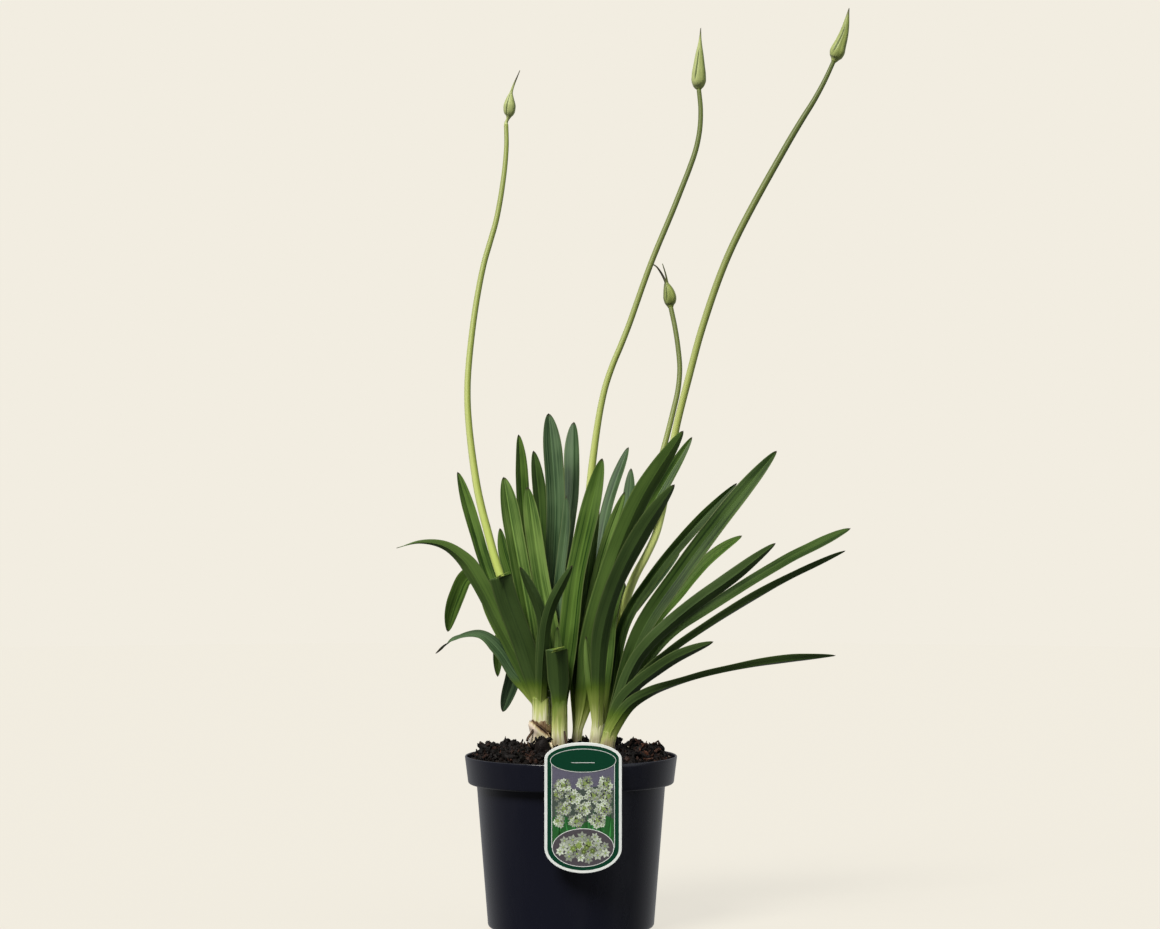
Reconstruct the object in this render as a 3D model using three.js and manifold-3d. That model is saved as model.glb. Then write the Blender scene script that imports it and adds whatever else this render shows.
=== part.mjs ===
// A potted agapanthus: fans of strap leaves and four flower stems in bud rise from a clump of
// pale leaf-base shoots, set in the soil of a round nursery pot with a care card hooked on its rim.
// Millimetres, +Z up. The origin is the centre of the pot's underside, and the card hangs at -Y.

import * as THREE from "three";
import { mergeVertices } from "three/addons/utils/BufferGeometryUtils.js";
import Module from "manifold-3d";

const wasm = await Module();
wasm.setup();

// ---------------------------------------------------------------- driving dimensions

const GAP = 0.3; // clearance between pieces that touch

const POT = {
  height: 137,
  rimRadius: 85,
  rimFoot: 82.6, // radius at the rim band's lower edge
  rimHeight: 23,
  rimRound: 2.2, // rounding of the rim band's lower edge
  groove: 1, // rise of the band's underside towards the wall
  shoulderRadius: 75.6,
  baseRadius: 66.7,
  wall: 1.5,
  corner: 3, // rounding of the lower edge
  lip: 0.7, // rounding of the top edge
  sides: 52,
};

const MITRE = 0.3; // inset of a round edge's middle, as a part of its radius

// Drainage notches through the lower edge; the angle is taken from the front, towards +X.
const NOTCH = { count: 8, firstAngle: -13, width: 18, height: 7, reach: 5, corner: 2.5 };

// The soil meets the rim a little below its top, rises over a narrow bank to a level shelf, and has
// its crown under the clump. The shoots' holes go down to its bed.
const SOIL = {
  edge: 133,
  shelf: 139.5,
  crown: 145.5,
  crownReach: 38, // radius over which the crown falls to about a third
  bankFoot: 82, // radius where the bank starts
  bankTop: 70,
  grain: 1.5,
  inset: 0.95,
  rings: 9,
  crowding: 1.4, // power that draws the rings together towards the edge
  sides: 40,
  bed: 120,
};

// Loose clods and bark chips on the soil: [x, y, radius, height over radius]. The middle of each
// stands out of the soil by a part of its own height.
const CLOD_RISE = 0.15;
const CLODS = [
  [-22.6, -27, 8, 1.35],
  [-44, -12, 6, 0.6],
  [-58, -22, 7, 0.5],
  [-66, 12, 8, 0.55],
  [-50, 34, 8, 0.6],
  [-24, 58, 8.5, 0.5],
  [8, 48, 7, 0.6],
  [34, 56, 8, 0.5],
  [52, 28, 8.5, 0.55],
  [69, 6, 7, 0.6],
  [58, -20, 8, 0.6],
  [49, -38, 6.5, 0.5],
  [30, -52, 7.5, 0.5],
  [2, -44, 7, 0.6],
  [-18, -64, 7, 0.5],
  [-46, -50, 8, 0.5],
  [-4, 22, 5.5, 0.6],
  [50, 6, 6, 0.9],
];

// The card's face is an upright plate; a strip from its back goes over the rim and into the soil.
const CARD = {
  x: 9.6,
  front: -86.2,
  thickness: 0.8,
  width: 60,
  archFoot: 142,
  archRise: 12.9,
  toeTop: 73.2,
  toeDrop: 19.7,
  hookWidth: 14,
  tongueBack: -78.6,
  tongueFoot: 121,
};

// Blades and stems are drawn in front elevation, as they look from EYE on the plane y = 0,
// and each is then carried to its own depth along the lines of sight.
const EYE = new THREE.Vector3(7.2, -2500, 370);
const SPREAD = 400; // run over which a blade's slope away from the front plane doubles

const BLADE = {
  layer: 1.75, // depth that one blade takes where it leaves its shoot
  rib: 1.3,
  margin: 0.75,
  gutter: 0.13, // depth of the channel for each millimetre of width
  unfold: 0.42, // part of its length in which a blade opens and turns from its root
  taper: 38, // length of the pointed end
  blunt: 0.6, // power that rounds the pointed end's outline
  tip: 0.7, // half width that is left at the very tip
  step: 18, // rough spacing of its sections
  gather: 1.5, // power that draws them together towards the tip
  fewest: 6,
};

// A neck's section is between an ellipse (power 2) and a rectangle. It swells a little where it
// leaves the soil, by a factor for each of its four levels.
const NECK = {
  power: 3,
  sides: 16,
  swell: [1, 1.04, 0.98, 1],
  collar: 8, // height of the second level over the soil's edge
  outermost: 0.97, // part of the half depth beyond which no layer's middle is counted
};

const STEM = {
  root: 3.9,
  top: 2,
  room: 0.9, // free depth beside a stem on its neck
  sides: 8,
  step: 25,
};

const LEAF_GREEN = "#3d6428";
const GREY_GREEN = "#5f8262";
const DARK_GREEN = "#263f1d";
const LIGHT_GREEN = "#6f9a4c";

/**
 * A layer of a shoot: path holds the points of its middle line after the root, as [x, z], and lean
 * is its slope towards the back. A leaf may have a taper and an unfold of its own, a slim end whose
 * width falls by that power, a roll from facing the front (0) to edge on (90), and a cut (blunt) end;
 * a stem may have a girth (root radius) of its own.
 */
const leaf = (name, color, sizes, path) => ({ name, color, ...sizes, path });
const stem = (name, sizes, path) => ({ name, stem: true, ...sizes, path });

// Each shoot's neck stands from its foot to its top, both [x, y]; half is its half width and half
// depth. Its layers are listed from the front to the back.
const SHOOTS = {
  left: {
    foot: [-24, 0],
    top: [-24, 0],
    height: 180,
    half: [7.3, 8.4],
    layers: [
      leaf("leaf_left_1", DARK_GREEN, { width: 9, lean: -0.36 }, [
        [-22, 222], [-18, 251], [-9, 271], [1, 289],
      ]),
      leaf("leaf_left_2", DARK_GREEN, { width: 9, lean: -0.24 }, [
        [-24, 221], [-23, 246], [-31, 268], [-41, 288],
      ]),
      leaf("leaf_left_3", DARK_GREEN, { width: 18, lean: -0.13, cut: true }, [
        [-39, 228], [-51, 260], [-57, 281],
      ]),
      leaf("leaf_left_4", LEAF_GREEN, { width: 15, lean: -0.02, roll: 20, taper: 65, slim: 1.3 }, [
        [-57, 242], [-75, 277], [-93, 300], [-115, 308], [-140, 303],
      ]),
      leaf("leaf_left_5", GREY_GREEN, { width: 13, lean: 0.06, roll: 28, taper: 55, slim: 1.6 }, [
        [-44, 201], [-55, 217], [-66, 230], [-78, 234.5], [-90, 232], [-108.5, 218.5],
      ]),
      leaf("leaf_left_6", LIGHT_GREEN, { width: 16.5, lean: 0.13, roll: 22 }, [
        [-33, 240], [-41, 285], [-48, 323], [-54, 360],
      ]),
    ],
  },
  left_rear: {
    foot: [-19, 24],
    top: [-22.5, 24],
    height: 184,
    half: [7, 10],
    layers: [
      leaf("leaf_left_rear_1", LEAF_GREEN, { width: 11, lean: 0.1 }, [
        [-34, 235], [-46, 275], [-54, 301], [-57, 319],
      ]),
      stem("stem_left", { lean: 0.14 }, [
        [-44, 250], [-58, 285], [-67, 317], [-75, 350], [-83, 420], [-80, 470], [-71, 526],
        [-59, 570], [-52, 620], [-52, 642],
      ]),
      leaf("leaf_left_rear_2", LEAF_GREEN, { width: 13, lean: 0.18, roll: 38 }, [
        [-29, 240], [-35, 293], [-39, 341], [-42, 394],
      ]),
      leaf("leaf_left_rear_3", LEAF_GREEN, { width: 12.5, lean: 0.24, roll: 38 }, [
        [-45, 237], [-66, 281], [-78, 319], [-91, 364],
      ]),
      leaf("leaf_left_rear_4", LEAF_GREEN, { width: 14.5, lean: 0.34, roll: 25 }, [
        [-60, 245], [-77, 285], [-92, 262], [-99, 236],
      ]),
      leaf("leaf_left_rear_5", LEAF_GREEN, { width: 12, lean: 0.52, roll: 35 }, [
        [-40, 222], [-52, 235], [-57, 221], [-59, 200],
      ]),
      leaf("leaf_left_rear_6", GREY_GREEN, { width: 14, lean: 0.75, roll: 25 }, [
        [-30, 212], [-39, 216], [-47, 194], [-55, 172],
      ]),
    ],
  },
  front: {
    foot: [-9.5, -9],
    top: [-9, -9],
    height: 180,
    half: [6.2, 9],
    layers: [
      leaf("leaf_front_1", DARK_GREEN, { width: 17.4, lean: -0.26, cut: true }, [
        [-10.7, 205], [-11.7, 222],
      ]),
      leaf("leaf_front_2", LIGHT_GREEN, { width: 8, lean: -0.14 }, [
        [-10, 215], [-11, 240],
      ]),
      leaf("leaf_front_3", LEAF_GREEN, { width: 16.5, lean: 0.04, taper: 55, roll: 15, unfold: 0.13 }, [
        [-5.5, 205], [-2, 230], [3.5, 277], [12, 318], [25, 375],
      ]),
      leaf("leaf_front_4", LIGHT_GREEN, { width: 13.5, lean: 0.08 }, [
        [-15, 232], [-24, 277], [-29, 309], [-35, 352],
      ]),
      leaf("leaf_front_5", GREY_GREEN, { width: 8, lean: 0.12 }, [
        [-11, 230], [-10, 270], [-4, 325], [-4, 345],
      ]),
      leaf("leaf_front_6", GREY_GREEN, { width: 17, lean: 0.17, roll: 22 }, [
        [-13, 235], [-15, 269], [-13, 340], [-18, 411],
      ]),
      leaf("leaf_front_7", DARK_GREEN, { width: 14, lean: 0.23, roll: 35 }, [
        [-16, 235], [-22, 285], [-26, 345], [-30, 381],
      ]),
      leaf("leaf_front_8", GREY_GREEN, { width: 16, lean: 0.3, roll: 32 }, [
        [-9, 235], [-6, 293], [1, 345], [2, 404],
      ]),
    ],
  },
  middle: {
    foot: [0.5, 8],
    top: [5.5, 8],
    height: 156,
    half: [4.2, 10],
    layers: [
      leaf("leaf_middle_1", LEAF_GREEN, { width: 17, lean: -0.15, taper: 70, roll: 18, unfold: 0.12 }, [
        [9.5, 172], [12.2, 190], [14.8, 221], [25.4, 265], [54, 339], [90, 397],
      ]),
      leaf("leaf_middle_2", LIGHT_GREEN, { width: 9.5, lean: 0 }, [
        [8.5, 190], [11, 225], [22, 284], [31, 315], [43, 348],
      ]),
      leaf("leaf_middle_3", DARK_GREEN, { width: 9.5, lean: 0.04 }, [
        [5.5, 190], [8, 230], [14, 285], [18, 325], [21, 353],
      ]),
      stem("stem_middle", { lean: 0.08 }, [
        [7, 200], [9, 240], [12, 310], [18, 378], [28, 434], [45, 478], [64, 531], [85, 582],
        [101, 626], [104, 650], [102.5, 671],
      ]),
      leaf("leaf_middle_4", GREY_GREEN, { width: 10, lean: 0.16 }, [
        [3.5, 190], [5.5, 225], [11, 262], [17, 305],
      ]),
      leaf("leaf_middle_5", GREY_GREEN, { width: 12, lean: 0.23, roll: 42 }, [
        [9, 195], [13, 240], [22, 295], [31, 340], [46, 384],
      ]),
    ],
  },
  right_middle: {
    foot: [16.5, -9],
    top: [21.5, -9],
    height: 160,
    half: [5.4, 9.4],
    layers: [
      leaf("leaf_right_middle_1", DARK_GREEN, { width: 16, lean: -0.2, taper: 60, roll: 25 }, [
        [24, 230], [35, 271], [58, 317], [83, 354],
      ]),
      leaf("leaf_right_middle_2", LIGHT_GREEN, { width: 8, lean: -0.1 }, [
        [15, 200], [12, 232],
      ]),
      leaf("leaf_right_middle_3", LEAF_GREEN, { width: 11, lean: 0.1, taper: 55 }, [
        [28.9, 215], [31.9, 250], [47, 304], [70, 347], [97, 392],
      ]),
      stem("stem_right_short", { lean: 0.14 }, [
        [38, 280], [64, 349], [80, 405], [87, 440], [85, 470], [80, 496],
      ]),
      leaf("leaf_right_middle_4", GREY_GREEN, { width: 12, lean: 0.2, roll: 30 }, [
        [24, 245], [36, 295], [46, 333], [48, 367],
      ]),
      leaf("leaf_right_middle_5", DARK_GREEN, { width: 13, lean: 0.25, roll: 10 }, [
        [22, 230], [25, 262], [28, 293],
      ]),
    ],
  },
  right: {
    foot: [24.5, -25],
    top: [30.5, -25.5],
    height: 155,
    half: [5.8, 6.2],
    layers: [
      leaf("leaf_right_1", DARK_GREEN, { width: 11, lean: -0.22, roll: 56 }, [
        [43, 173], [55, 183], [76, 192], [103, 200], [158, 211.5], [212, 217],
      ]),
      leaf("leaf_right_2", DARK_GREEN, { width: 12, lean: -0.15, roll: 25, taper: 50 }, [
        [42, 182], [58, 197], [82, 214], [114, 228],
      ]),
      leaf("leaf_right_3", DARK_GREEN, { width: 11, lean: -0.09, roll: 56 }, [
        [58, 200], [103, 236], [160, 271], [220, 301],
      ]),
      leaf("leaf_right_4", DARK_GREEN, { width: 12, lean: -0.03, roll: 20, taper: 55 }, [
        [53, 214], [90, 251], [131, 281], [164, 307],
      ]),
      leaf("leaf_right_5", LEAF_GREEN, { width: 15.5, lean: 0.04, taper: 70, roll: 20 }, [
        [54, 231], [90, 286], [128, 336], [165, 381],
      ]),
    ],
  },
  right_rear: {
    foot: [25, 12],
    top: [31, 12],
    height: 160,
    half: [6, 9.5],
    layers: [
      leaf("leaf_right_rear_1", DARK_GREEN, { width: 10, lean: 0, taper: 60 }, [
        [42, 240], [66, 280], [98, 319], [133, 355],
      ]),
      stem("stem_right", { girth: 4.6, lean: 0.05 }, [
        [45, 264], [69, 317], [84, 398], [95, 442], [106, 482], [128, 542], [176.5, 632], [199.5, 670],
        [210.5, 693],
      ]),
      leaf("leaf_right_rear_2", GREY_GREEN, { width: 9, lean: 0.11, roll: 35 }, [
        [38, 233], [55, 259], [87, 299],
      ]),
      leaf("leaf_right_rear_3", GREY_GREEN, { width: 11, lean: 0.17, roll: 38 }, [
        [58, 230], [87, 266], [112, 295], [137, 313],
      ]),
      leaf("leaf_right_rear_4", DARK_GREEN, { width: 11.5, lean: 0.23, roll: 48 }, [
        [70, 225], [115, 257], [170, 291], [224, 319],
      ]),
      leaf("leaf_right_rear_5", DARK_GREEN, { width: 13, lean: 0.32, roll: 30 }, [
        [32, 215], [38, 250], [43, 275],
      ]),
    ],
  },
};

// Buds: the stem each sits on, its middle line after the stem's end and its radius along that line,
// which starts straight on from the stem for a short way. A fork is the line of a second beak.
const BUD_START = 2;
const FORK = { root: 1, tip: 0.6, sections: 4 };
const BUDS = {
  bud_left: {
    on: "stem_left",
    path: [[-50, 649], [-48, 668], [-41, 686]],
    radii: [2, 1.8, 5.2, 3.7, 2.1, 1.1, 0.8, 0.6],
  },
  bud_middle: {
    on: "stem_middle",
    path: [[102.5, 680], [103, 697], [104, 720]],
    radii: [2.4, 6.1, 5.7, 4.6, 3.3, 1.9, 0.9, 0.6],
  },
  bud_right: {
    on: "stem_right",
    path: [[214, 702], [219, 716], [223, 736]],
    radii: [2.4, 6, 5.7, 4.7, 3.7, 2.6, 1.4, 0.6],
  },
  bud_short: {
    on: "stem_right_short",
    path: [[79, 506], [74, 519], [64, 530]],
    radii: [2.2, 4.8, 5.1, 3.3, 1.3, 0.9, 0.8, 0.6],
    fork: [[78, 510], [76.6, 521.6], [75.3, 526.2], [72.9, 532]],
  },
};

// The dry sheath's wrap runs between two angles round the left neck, taken from +X towards the back.
const DRY_SHEATH = {
  thickness: 0.7,
  foot: 147,
  frontTop: 163,
  backTop: 152,
  from: -150,
  to: 40,
  sections: 16,
};

// ---------------------------------------------------------------- solids

/** A closed geometry as a solid that can be joined and cut. */
function solid(geometry) {
  const bare = geometry.clone();
  bare.deleteAttribute("normal");
  bare.deleteAttribute("uv");
  const merged = mergeVertices(bare);
  return new wasm.Manifold(
    new wasm.Mesh({
      numProp: 3,
      vertProperties: new Float32Array(merged.attributes.position.array),
      triVerts: new Uint32Array(merged.index.array),
    }),
  );
}

/** A solid as a geometry. */
function geometryOf(body) {
  const { vertProperties, triVerts } = body.getMesh();
  const geometry = new THREE.BufferGeometry();
  geometry.setAttribute("position", new THREE.BufferAttribute(vertProperties, 3));
  geometry.setIndex(new THREE.BufferAttribute(triVerts, 1));
  geometry.computeVertexNormals();
  return geometry;
}

/**
 * A closed skin through rings of points. Each ring runs along one face of the section and back
 * along the other, counter-clockwise as seen from the far end. The second half is split along
 * mirrored diagonals, so that the two faces of a thin blade have the same triangles.
 */
function loft(rings) {
  const n = rings[0].length;
  const at = (ring, i) => ring * n + (i % n);
  const index = [];
  for (let ring = 0; ring < rings.length - 1; ring++) {
    for (let i = 0; i < n; i++) {
      const [a, b, c, d] = [at(ring, i), at(ring, i + 1), at(ring + 1, i + 1), at(ring + 1, i)];
      index.push(...(i < n / 2 ? [a, b, c, a, c, d] : [a, b, d, b, c, d]));
    }
  }
  const last = rings.length - 1;
  for (let i = 0; i < n / 2 - 1; i++) {
    const [a, b, c, d] = [i, i + 1, n - 2 - i, n - 1 - i];
    index.push(a, c, b, a, d, c);
    index.push(at(last, a), at(last, b), at(last, c), at(last, a), at(last, c), at(last, d));
  }
  const geometry = new THREE.BufferGeometry().setFromPoints(rings.flat());
  geometry.setIndex(index);
  geometry.computeVertexNormals();
  return geometry;
}

function mesh(name, geometry, color, roughness) {
  const material = new THREE.MeshStandardMaterial({ color, roughness, metalness: 0 });
  const piece = new THREE.Mesh(geometry, material);
  piece.name = name;
  return piece;
}

/** Turns a lathe's +Y axis up to +Z. */
function lathe(profile, sides) {
  return new THREE.LatheGeometry(profile, sides).rotateX(Math.PI / 2);
}

const point = (x, y) => new THREE.Vector2(x, y);

// ---------------------------------------------------------------- pot, soil and card

const rimFootZ = POT.height - POT.rimHeight;

/** The pot's inner wall from its floor over the ledge behind the rim band to its lip, moved inwards. */
function innerProfile(offset) {
  const inset = POT.wall + offset;
  const ledge = rimFootZ + POT.groove + inset;
  return [
    point(POT.baseRadius - inset, inset),
    point(POT.shoulderRadius - inset, ledge),
    point(POT.rimFoot - inset, ledge + POT.lip),
    point(POT.rimRadius - inset, POT.height - POT.lip),
  ];
}

function potGeometry() {
  const { height, rimRadius, rimFoot, rimRound, groove } = POT;
  const { shoulderRadius, baseRadius, wall, corner, lip } = POT;
  const profile = [
    point(0, 0),
    point(baseRadius - corner, 0),
    point(baseRadius - corner * MITRE, corner * MITRE),
    point(baseRadius, corner),
    point(shoulderRadius, rimFootZ + groove),
    point(rimFoot - rimRound, rimFootZ),
    point(rimFoot - rimRound * MITRE, rimFootZ + rimRound * MITRE),
    point(rimFoot, rimFootZ + rimRound),
    point(rimRadius, height - lip),
    point(rimRadius - lip, height),
    point(rimRadius - wall, height),
    ...innerProfile(0).reverse(),
    point(0, wall),
  ];
  const shell = solid(lathe(profile, POT.sides));
  return geometryOf(notchCutters().reduce((pot, cutter) => pot.subtract(cutter), shell));
}

function notchCutters() {
  const { count, firstAngle, width, height, reach, corner } = NOTCH;
  const half = width / 2;
  const arch = new THREE.Shape();
  arch.moveTo(-half, -1);
  arch.lineTo(half, -1);
  arch.lineTo(half, height - corner);
  arch.absarc(half - corner, height - corner, corner, 0, Math.PI / 2);
  arch.lineTo(corner - half, height);
  arch.absarc(corner - half, height - corner, corner, Math.PI / 2, Math.PI);
  const depth = 2 * reach;
  return Array.from({ length: count }, (_, i) => {
    const angle = THREE.MathUtils.degToRad(firstAngle + (i * 360) / count);
    const cutter = new THREE.ExtrudeGeometry(arch, { depth, bevelEnabled: false, curveSegments: 3 });
    cutter.rotateX(Math.PI / 2).translate(0, reach - POT.baseRadius, 0).rotateZ(angle);
    return solid(cutter);
  });
}

/** Height of the soil's surface: a bank, a shelf and a low crown, with a crumbly grain. */
function soilHeight(x, y) {
  const radius = Math.hypot(x, y);
  const bank = 1 - THREE.MathUtils.smoothstep(radius, SOIL.bankTop, SOIL.bankFoot);
  const crown = Math.exp(-((radius / SOIL.crownReach) ** 2));
  const grain = Math.sin(0.31 * x + 0.9) * Math.cos(0.27 * y) + 0.6 * Math.sin(0.62 * y - 0.41 * x);
  const smooth = SOIL.edge + (SOIL.shelf - SOIL.edge) * bank + (SOIL.crown - SOIL.shelf) * crown;
  return smooth + SOIL.grain * grain;
}

function soilGeometry() {
  const edge = POT.rimRadius - POT.wall - SOIL.inset;
  const wall = innerProfile(GAP).slice(0, 3);
  const surface = Array.from({ length: SOIL.rings }, (_, i) => {
    return point(edge * (1 - (i / SOIL.rings) ** SOIL.crowding), SOIL.edge);
  });
  const profile = [point(0, POT.wall + GAP), ...wall, ...surface, point(0, SOIL.edge)];
  const block = lathe(profile, SOIL.sides);
  const position = block.attributes.position;
  for (let i = 0; i < position.count; i++) {
    if (position.getZ(i) > SOIL.edge - 0.01) {
      position.setZ(i, soilHeight(position.getX(i), position.getY(i)));
    }
  }
  const filled = CLODS.reduce((soil, clod) => soil.add(clodSolid(clod)), solid(block));
  const holes = Object.values(SHOOTS).map((shoot) => solid(holeGeometry(shoot)));
  const depth = 2 * (POT.height - CARD.tongueFoot);
  const slot = new THREE.BoxGeometry(CARD.hookWidth + 2 * GAP, CARD.thickness + 2 * GAP, depth);
  slot.translate(CARD.x, CARD.tongueBack - CARD.thickness / 2, CARD.tongueFoot - GAP + depth / 2);
  return geometryOf([...holes, solid(slot)].reduce((soil, hole) => soil.subtract(hole), filled));
}

/** A clod: a faceted lump, half sunk in the soil. */
function clodSolid([x, y, radius, tall]) {
  const clod = new THREE.IcosahedronGeometry(radius, 0);
  clod.scale(1, 0.85, tall).rotateZ(x + y);
  return solid(clod.translate(x, y, soilHeight(x, y) + CLOD_RISE * radius * tall));
}

/** The card's outline: straight sides, a low arch on top and a rounded foot. */
function cardGeometry() {
  const { x, front, thickness, width, archFoot, archRise, toeTop, toeDrop } = CARD;
  const half = width / 2;
  const outline = new THREE.Shape();
  outline.moveTo(half, toeTop);
  outline.lineTo(half, archFoot);
  outline.absellipse(0, archFoot, half, archRise, 0, Math.PI);
  outline.lineTo(-half, toeTop);
  outline.absellipse(0, toeTop, half, toeDrop, Math.PI, 2 * Math.PI);
  const settings = { depth: thickness, bevelEnabled: false, curveSegments: 10 };
  const plate = new THREE.ExtrudeGeometry(outline, settings);
  plate.rotateX(Math.PI / 2).translate(x, front + thickness, 0);
  return geometryOf(solid(plate).add(hookSolid()));
}

function hookSolid() {
  const { x, front, thickness, hookWidth, tongueBack, tongueFoot } = CARD;
  const bridge = POT.height + GAP;
  const side = new THREE.Shape([
    point(front + thickness / 2, bridge),
    point(tongueBack - thickness, bridge),
    point(tongueBack - thickness, tongueFoot),
    point(tongueBack, tongueFoot),
    point(tongueBack, bridge + thickness),
    point(front + thickness / 2, bridge + thickness),
  ]);
  const strip = new THREE.ExtrudeGeometry(side, { depth: hookWidth, bevelEnabled: false });
  // the profile's axes become Y and Z, and its depth becomes X
  strip.applyMatrix4(new THREE.Matrix4().set(0, 0, 1, 0, 1, 0, 0, 0, 0, 1, 0, 0, 0, 0, 0, 1));
  return solid(strip.translate(x - hookWidth / 2, 0, 0));
}

// ---------------------------------------------------------------- shoots, leaves, stems and buds

/** A point drawn in front elevation, at a depth. */
function atDepth(x, z, y) {
  const reach = (y - EYE.y) / -EYE.y;
  return new THREE.Vector3(EYE.x + (x - EYE.x) * reach, y, EYE.z + (z - EYE.z) * reach);
}

/** Turns a cosine or sine, on the unit circle, into the coordinate on a superellipse of NECK.power. */
function rounded(coordinate) {
  return Math.sign(coordinate) * Math.abs(coordinate) ** (2 / NECK.power);
}

/** A shoot's four-level column between two heights, grown sideways by an offset. */
function columnGeometry({ foot, top, height, half }, footZ, topZ, offset) {
  const collarZ = SOIL.edge + NECK.collar;
  const levels = [footZ, collarZ, (collarZ + height) / 2, topZ];
  const rings = levels.map((z, level) => {
    const middle = point(...foot).lerp(point(...top), (z - SOIL.bed) / (height - SOIL.bed));
    return Array.from({ length: NECK.sides }, (_, i) => {
      const angle = (2 * Math.PI * (i + 0.5)) / NECK.sides;
      return new THREE.Vector3(
        middle.x + (half[0] * NECK.swell[level] + offset) * rounded(Math.cos(angle)),
        middle.y + (half[1] * NECK.swell[level] + offset) * rounded(Math.sin(angle)),
        z,
      );
    });
  });
  return loft(rings);
}

/** The shoot's pale neck, from its foot in the soil to its flat top. */
function neckGeometry(shoot) {
  return columnGeometry(shoot, SOIL.bed + GAP, shoot.height, 0);
}

/** The hole in the soil that the neck stands in. */
function holeGeometry(shoot) {
  return columnGeometry(shoot, SOIL.bed, shoot.height, GAP);
}

/** Gives each layer of a shoot its place on the flat top of the neck, from the front to the back. */
function seatLayers({ top, height, half, layers }) {
  const depthOf = (layer) => (layer.stem ? 2 * (layer.girth ?? STEM.root) + STEM.room : BLADE.layer);
  const depths = layers.map(depthOf);
  const stack = depths.reduce((sum, depth) => sum + depth, 0);
  let front = -stack / 2;
  return layers.map((layer, i) => {
    const offset = front + depths[i] / 2;
    front += depths[i];
    const inset = Math.min(NECK.outermost, Math.abs(offset) / half[1]) ** NECK.power;
    const chord = 2 * half[0] * (1 - inset) ** (1 / NECK.power);
    return { ...layer, root: new THREE.Vector3(top[0], top[1] + offset, height + GAP), chord };
  });
}

/** The middle line of a blade or stem, from its root through the points of its front elevation. */
function middleLine({ root, lean, path }) {
  const drawn = [[root.x, root.z], ...path];
  let run = 0;
  const points = drawn.map(([x, z], i) => {
    if (i === 0) return root.clone();
    run += Math.hypot(x - drawn[i - 1][0], z - drawn[i - 1][1]);
    return atDepth(x, z, root.y + lean * run * (1 + run / SPREAD));
  });
  return new THREE.CatmullRomCurve3(points, false, "centripetal");
}

/** Cuts the foot of a blade or stem level, to stand on the flat top of its neck. */
function levelFoot(rings, z) {
  rings[0].forEach((corner) => corner.setZ(z));
}

/** A strap leaf: a shallow gutter with a thick rib, opening from its root and tapering to a point. */
function leafGeometry(layer) {
  const { width, lean, root, chord, cut = false, roll = 0, slim } = layer;
  const { taper = BLADE.taper, unfold = BLADE.unfold } = layer;
  const line = middleLine(layer);
  const length = line.getLength();
  const facing = lean < 0 ? -1 : 1; // the gutter's open side is the upper face
  const side = line.getPointAt(1).x < root.x ? -1 : 1;
  const sections = Math.max(BLADE.fewest, Math.ceil(length / BLADE.step));
  const rings = [];
  for (let k = 0; k <= sections; k++) {
    const t = k / sections;
    const along = cut ? t : 1 - (1 - t) ** BLADE.gather;
    const open = THREE.MathUtils.smoothstep(along, 0, unfold);
    const left = Math.min(1, (length * (1 - along)) / taper);
    const pointed = slim ? left ** slim : (1 - (1 - left) ** 2) ** BLADE.blunt;
    const fullness = cut ? 1 : pointed;
    const span = THREE.MathUtils.lerp(Math.min(chord, width), width, open);
    const half = Math.max(BLADE.tip, (span * fullness) / 2);
    const gutter = 2 * half * BLADE.gutter * open;
    const rib = THREE.MathUtils.lerp(BLADE.margin, BLADE.rib, fullness);
    const tangent = line.getTangentAt(along);
    const turn = THREE.MathUtils.degToRad(roll) * open;
    const across = new THREE.Vector3(0, -1, 0).cross(tangent).normalize();
    const normal = tangent.clone().cross(across).multiplyScalar(facing * Math.cos(turn));
    normal.addScaledVector(across, side * Math.sin(turn));
    const wide = normal.clone().cross(tangent).normalize();
    const middle = line.getPointAt(along);
    const place = (u, n) => middle.clone().addScaledVector(wide, u).addScaledVector(normal, n);
    rings.push([
      place(half, gutter),
      place(0, 0),
      place(-half, gutter),
      place(-half, gutter - BLADE.margin),
      place(0, -rib),
      place(half, gutter - BLADE.margin),
    ]);
  }
  levelFoot(rings, root.z);
  return loft(rings);
}

/** The rings of a round rod along a line, with a radius given for each place along it. */
function rodRings(line, radiusAt, sections) {
  return Array.from({ length: sections + 1 }, (_, k) => {
    const along = k / sections;
    const tangent = line.getTangentAt(along);
    const across = new THREE.Vector3(0, -1, 0).cross(tangent).normalize();
    const front = tangent.clone().cross(across);
    const radius = radiusAt(along);
    return Array.from({ length: STEM.sides }, (_, i) => {
      const angle = (2 * Math.PI * (i + 0.5)) / STEM.sides;
      return line
        .getPointAt(along)
        .addScaledVector(across, radius * Math.cos(angle))
        .addScaledVector(front, radius * Math.sin(angle));
    });
  });
}

function stemGeometry(layer) {
  const line = middleLine(layer);
  const radiusAt = (along) => THREE.MathUtils.lerp(layer.girth ?? STEM.root, STEM.top, along);
  const rings = rodRings(line, radiusAt, Math.ceil(line.getLength() / STEM.step));
  levelFoot(rings, layer.root.z);
  return loft(rings);
}

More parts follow.
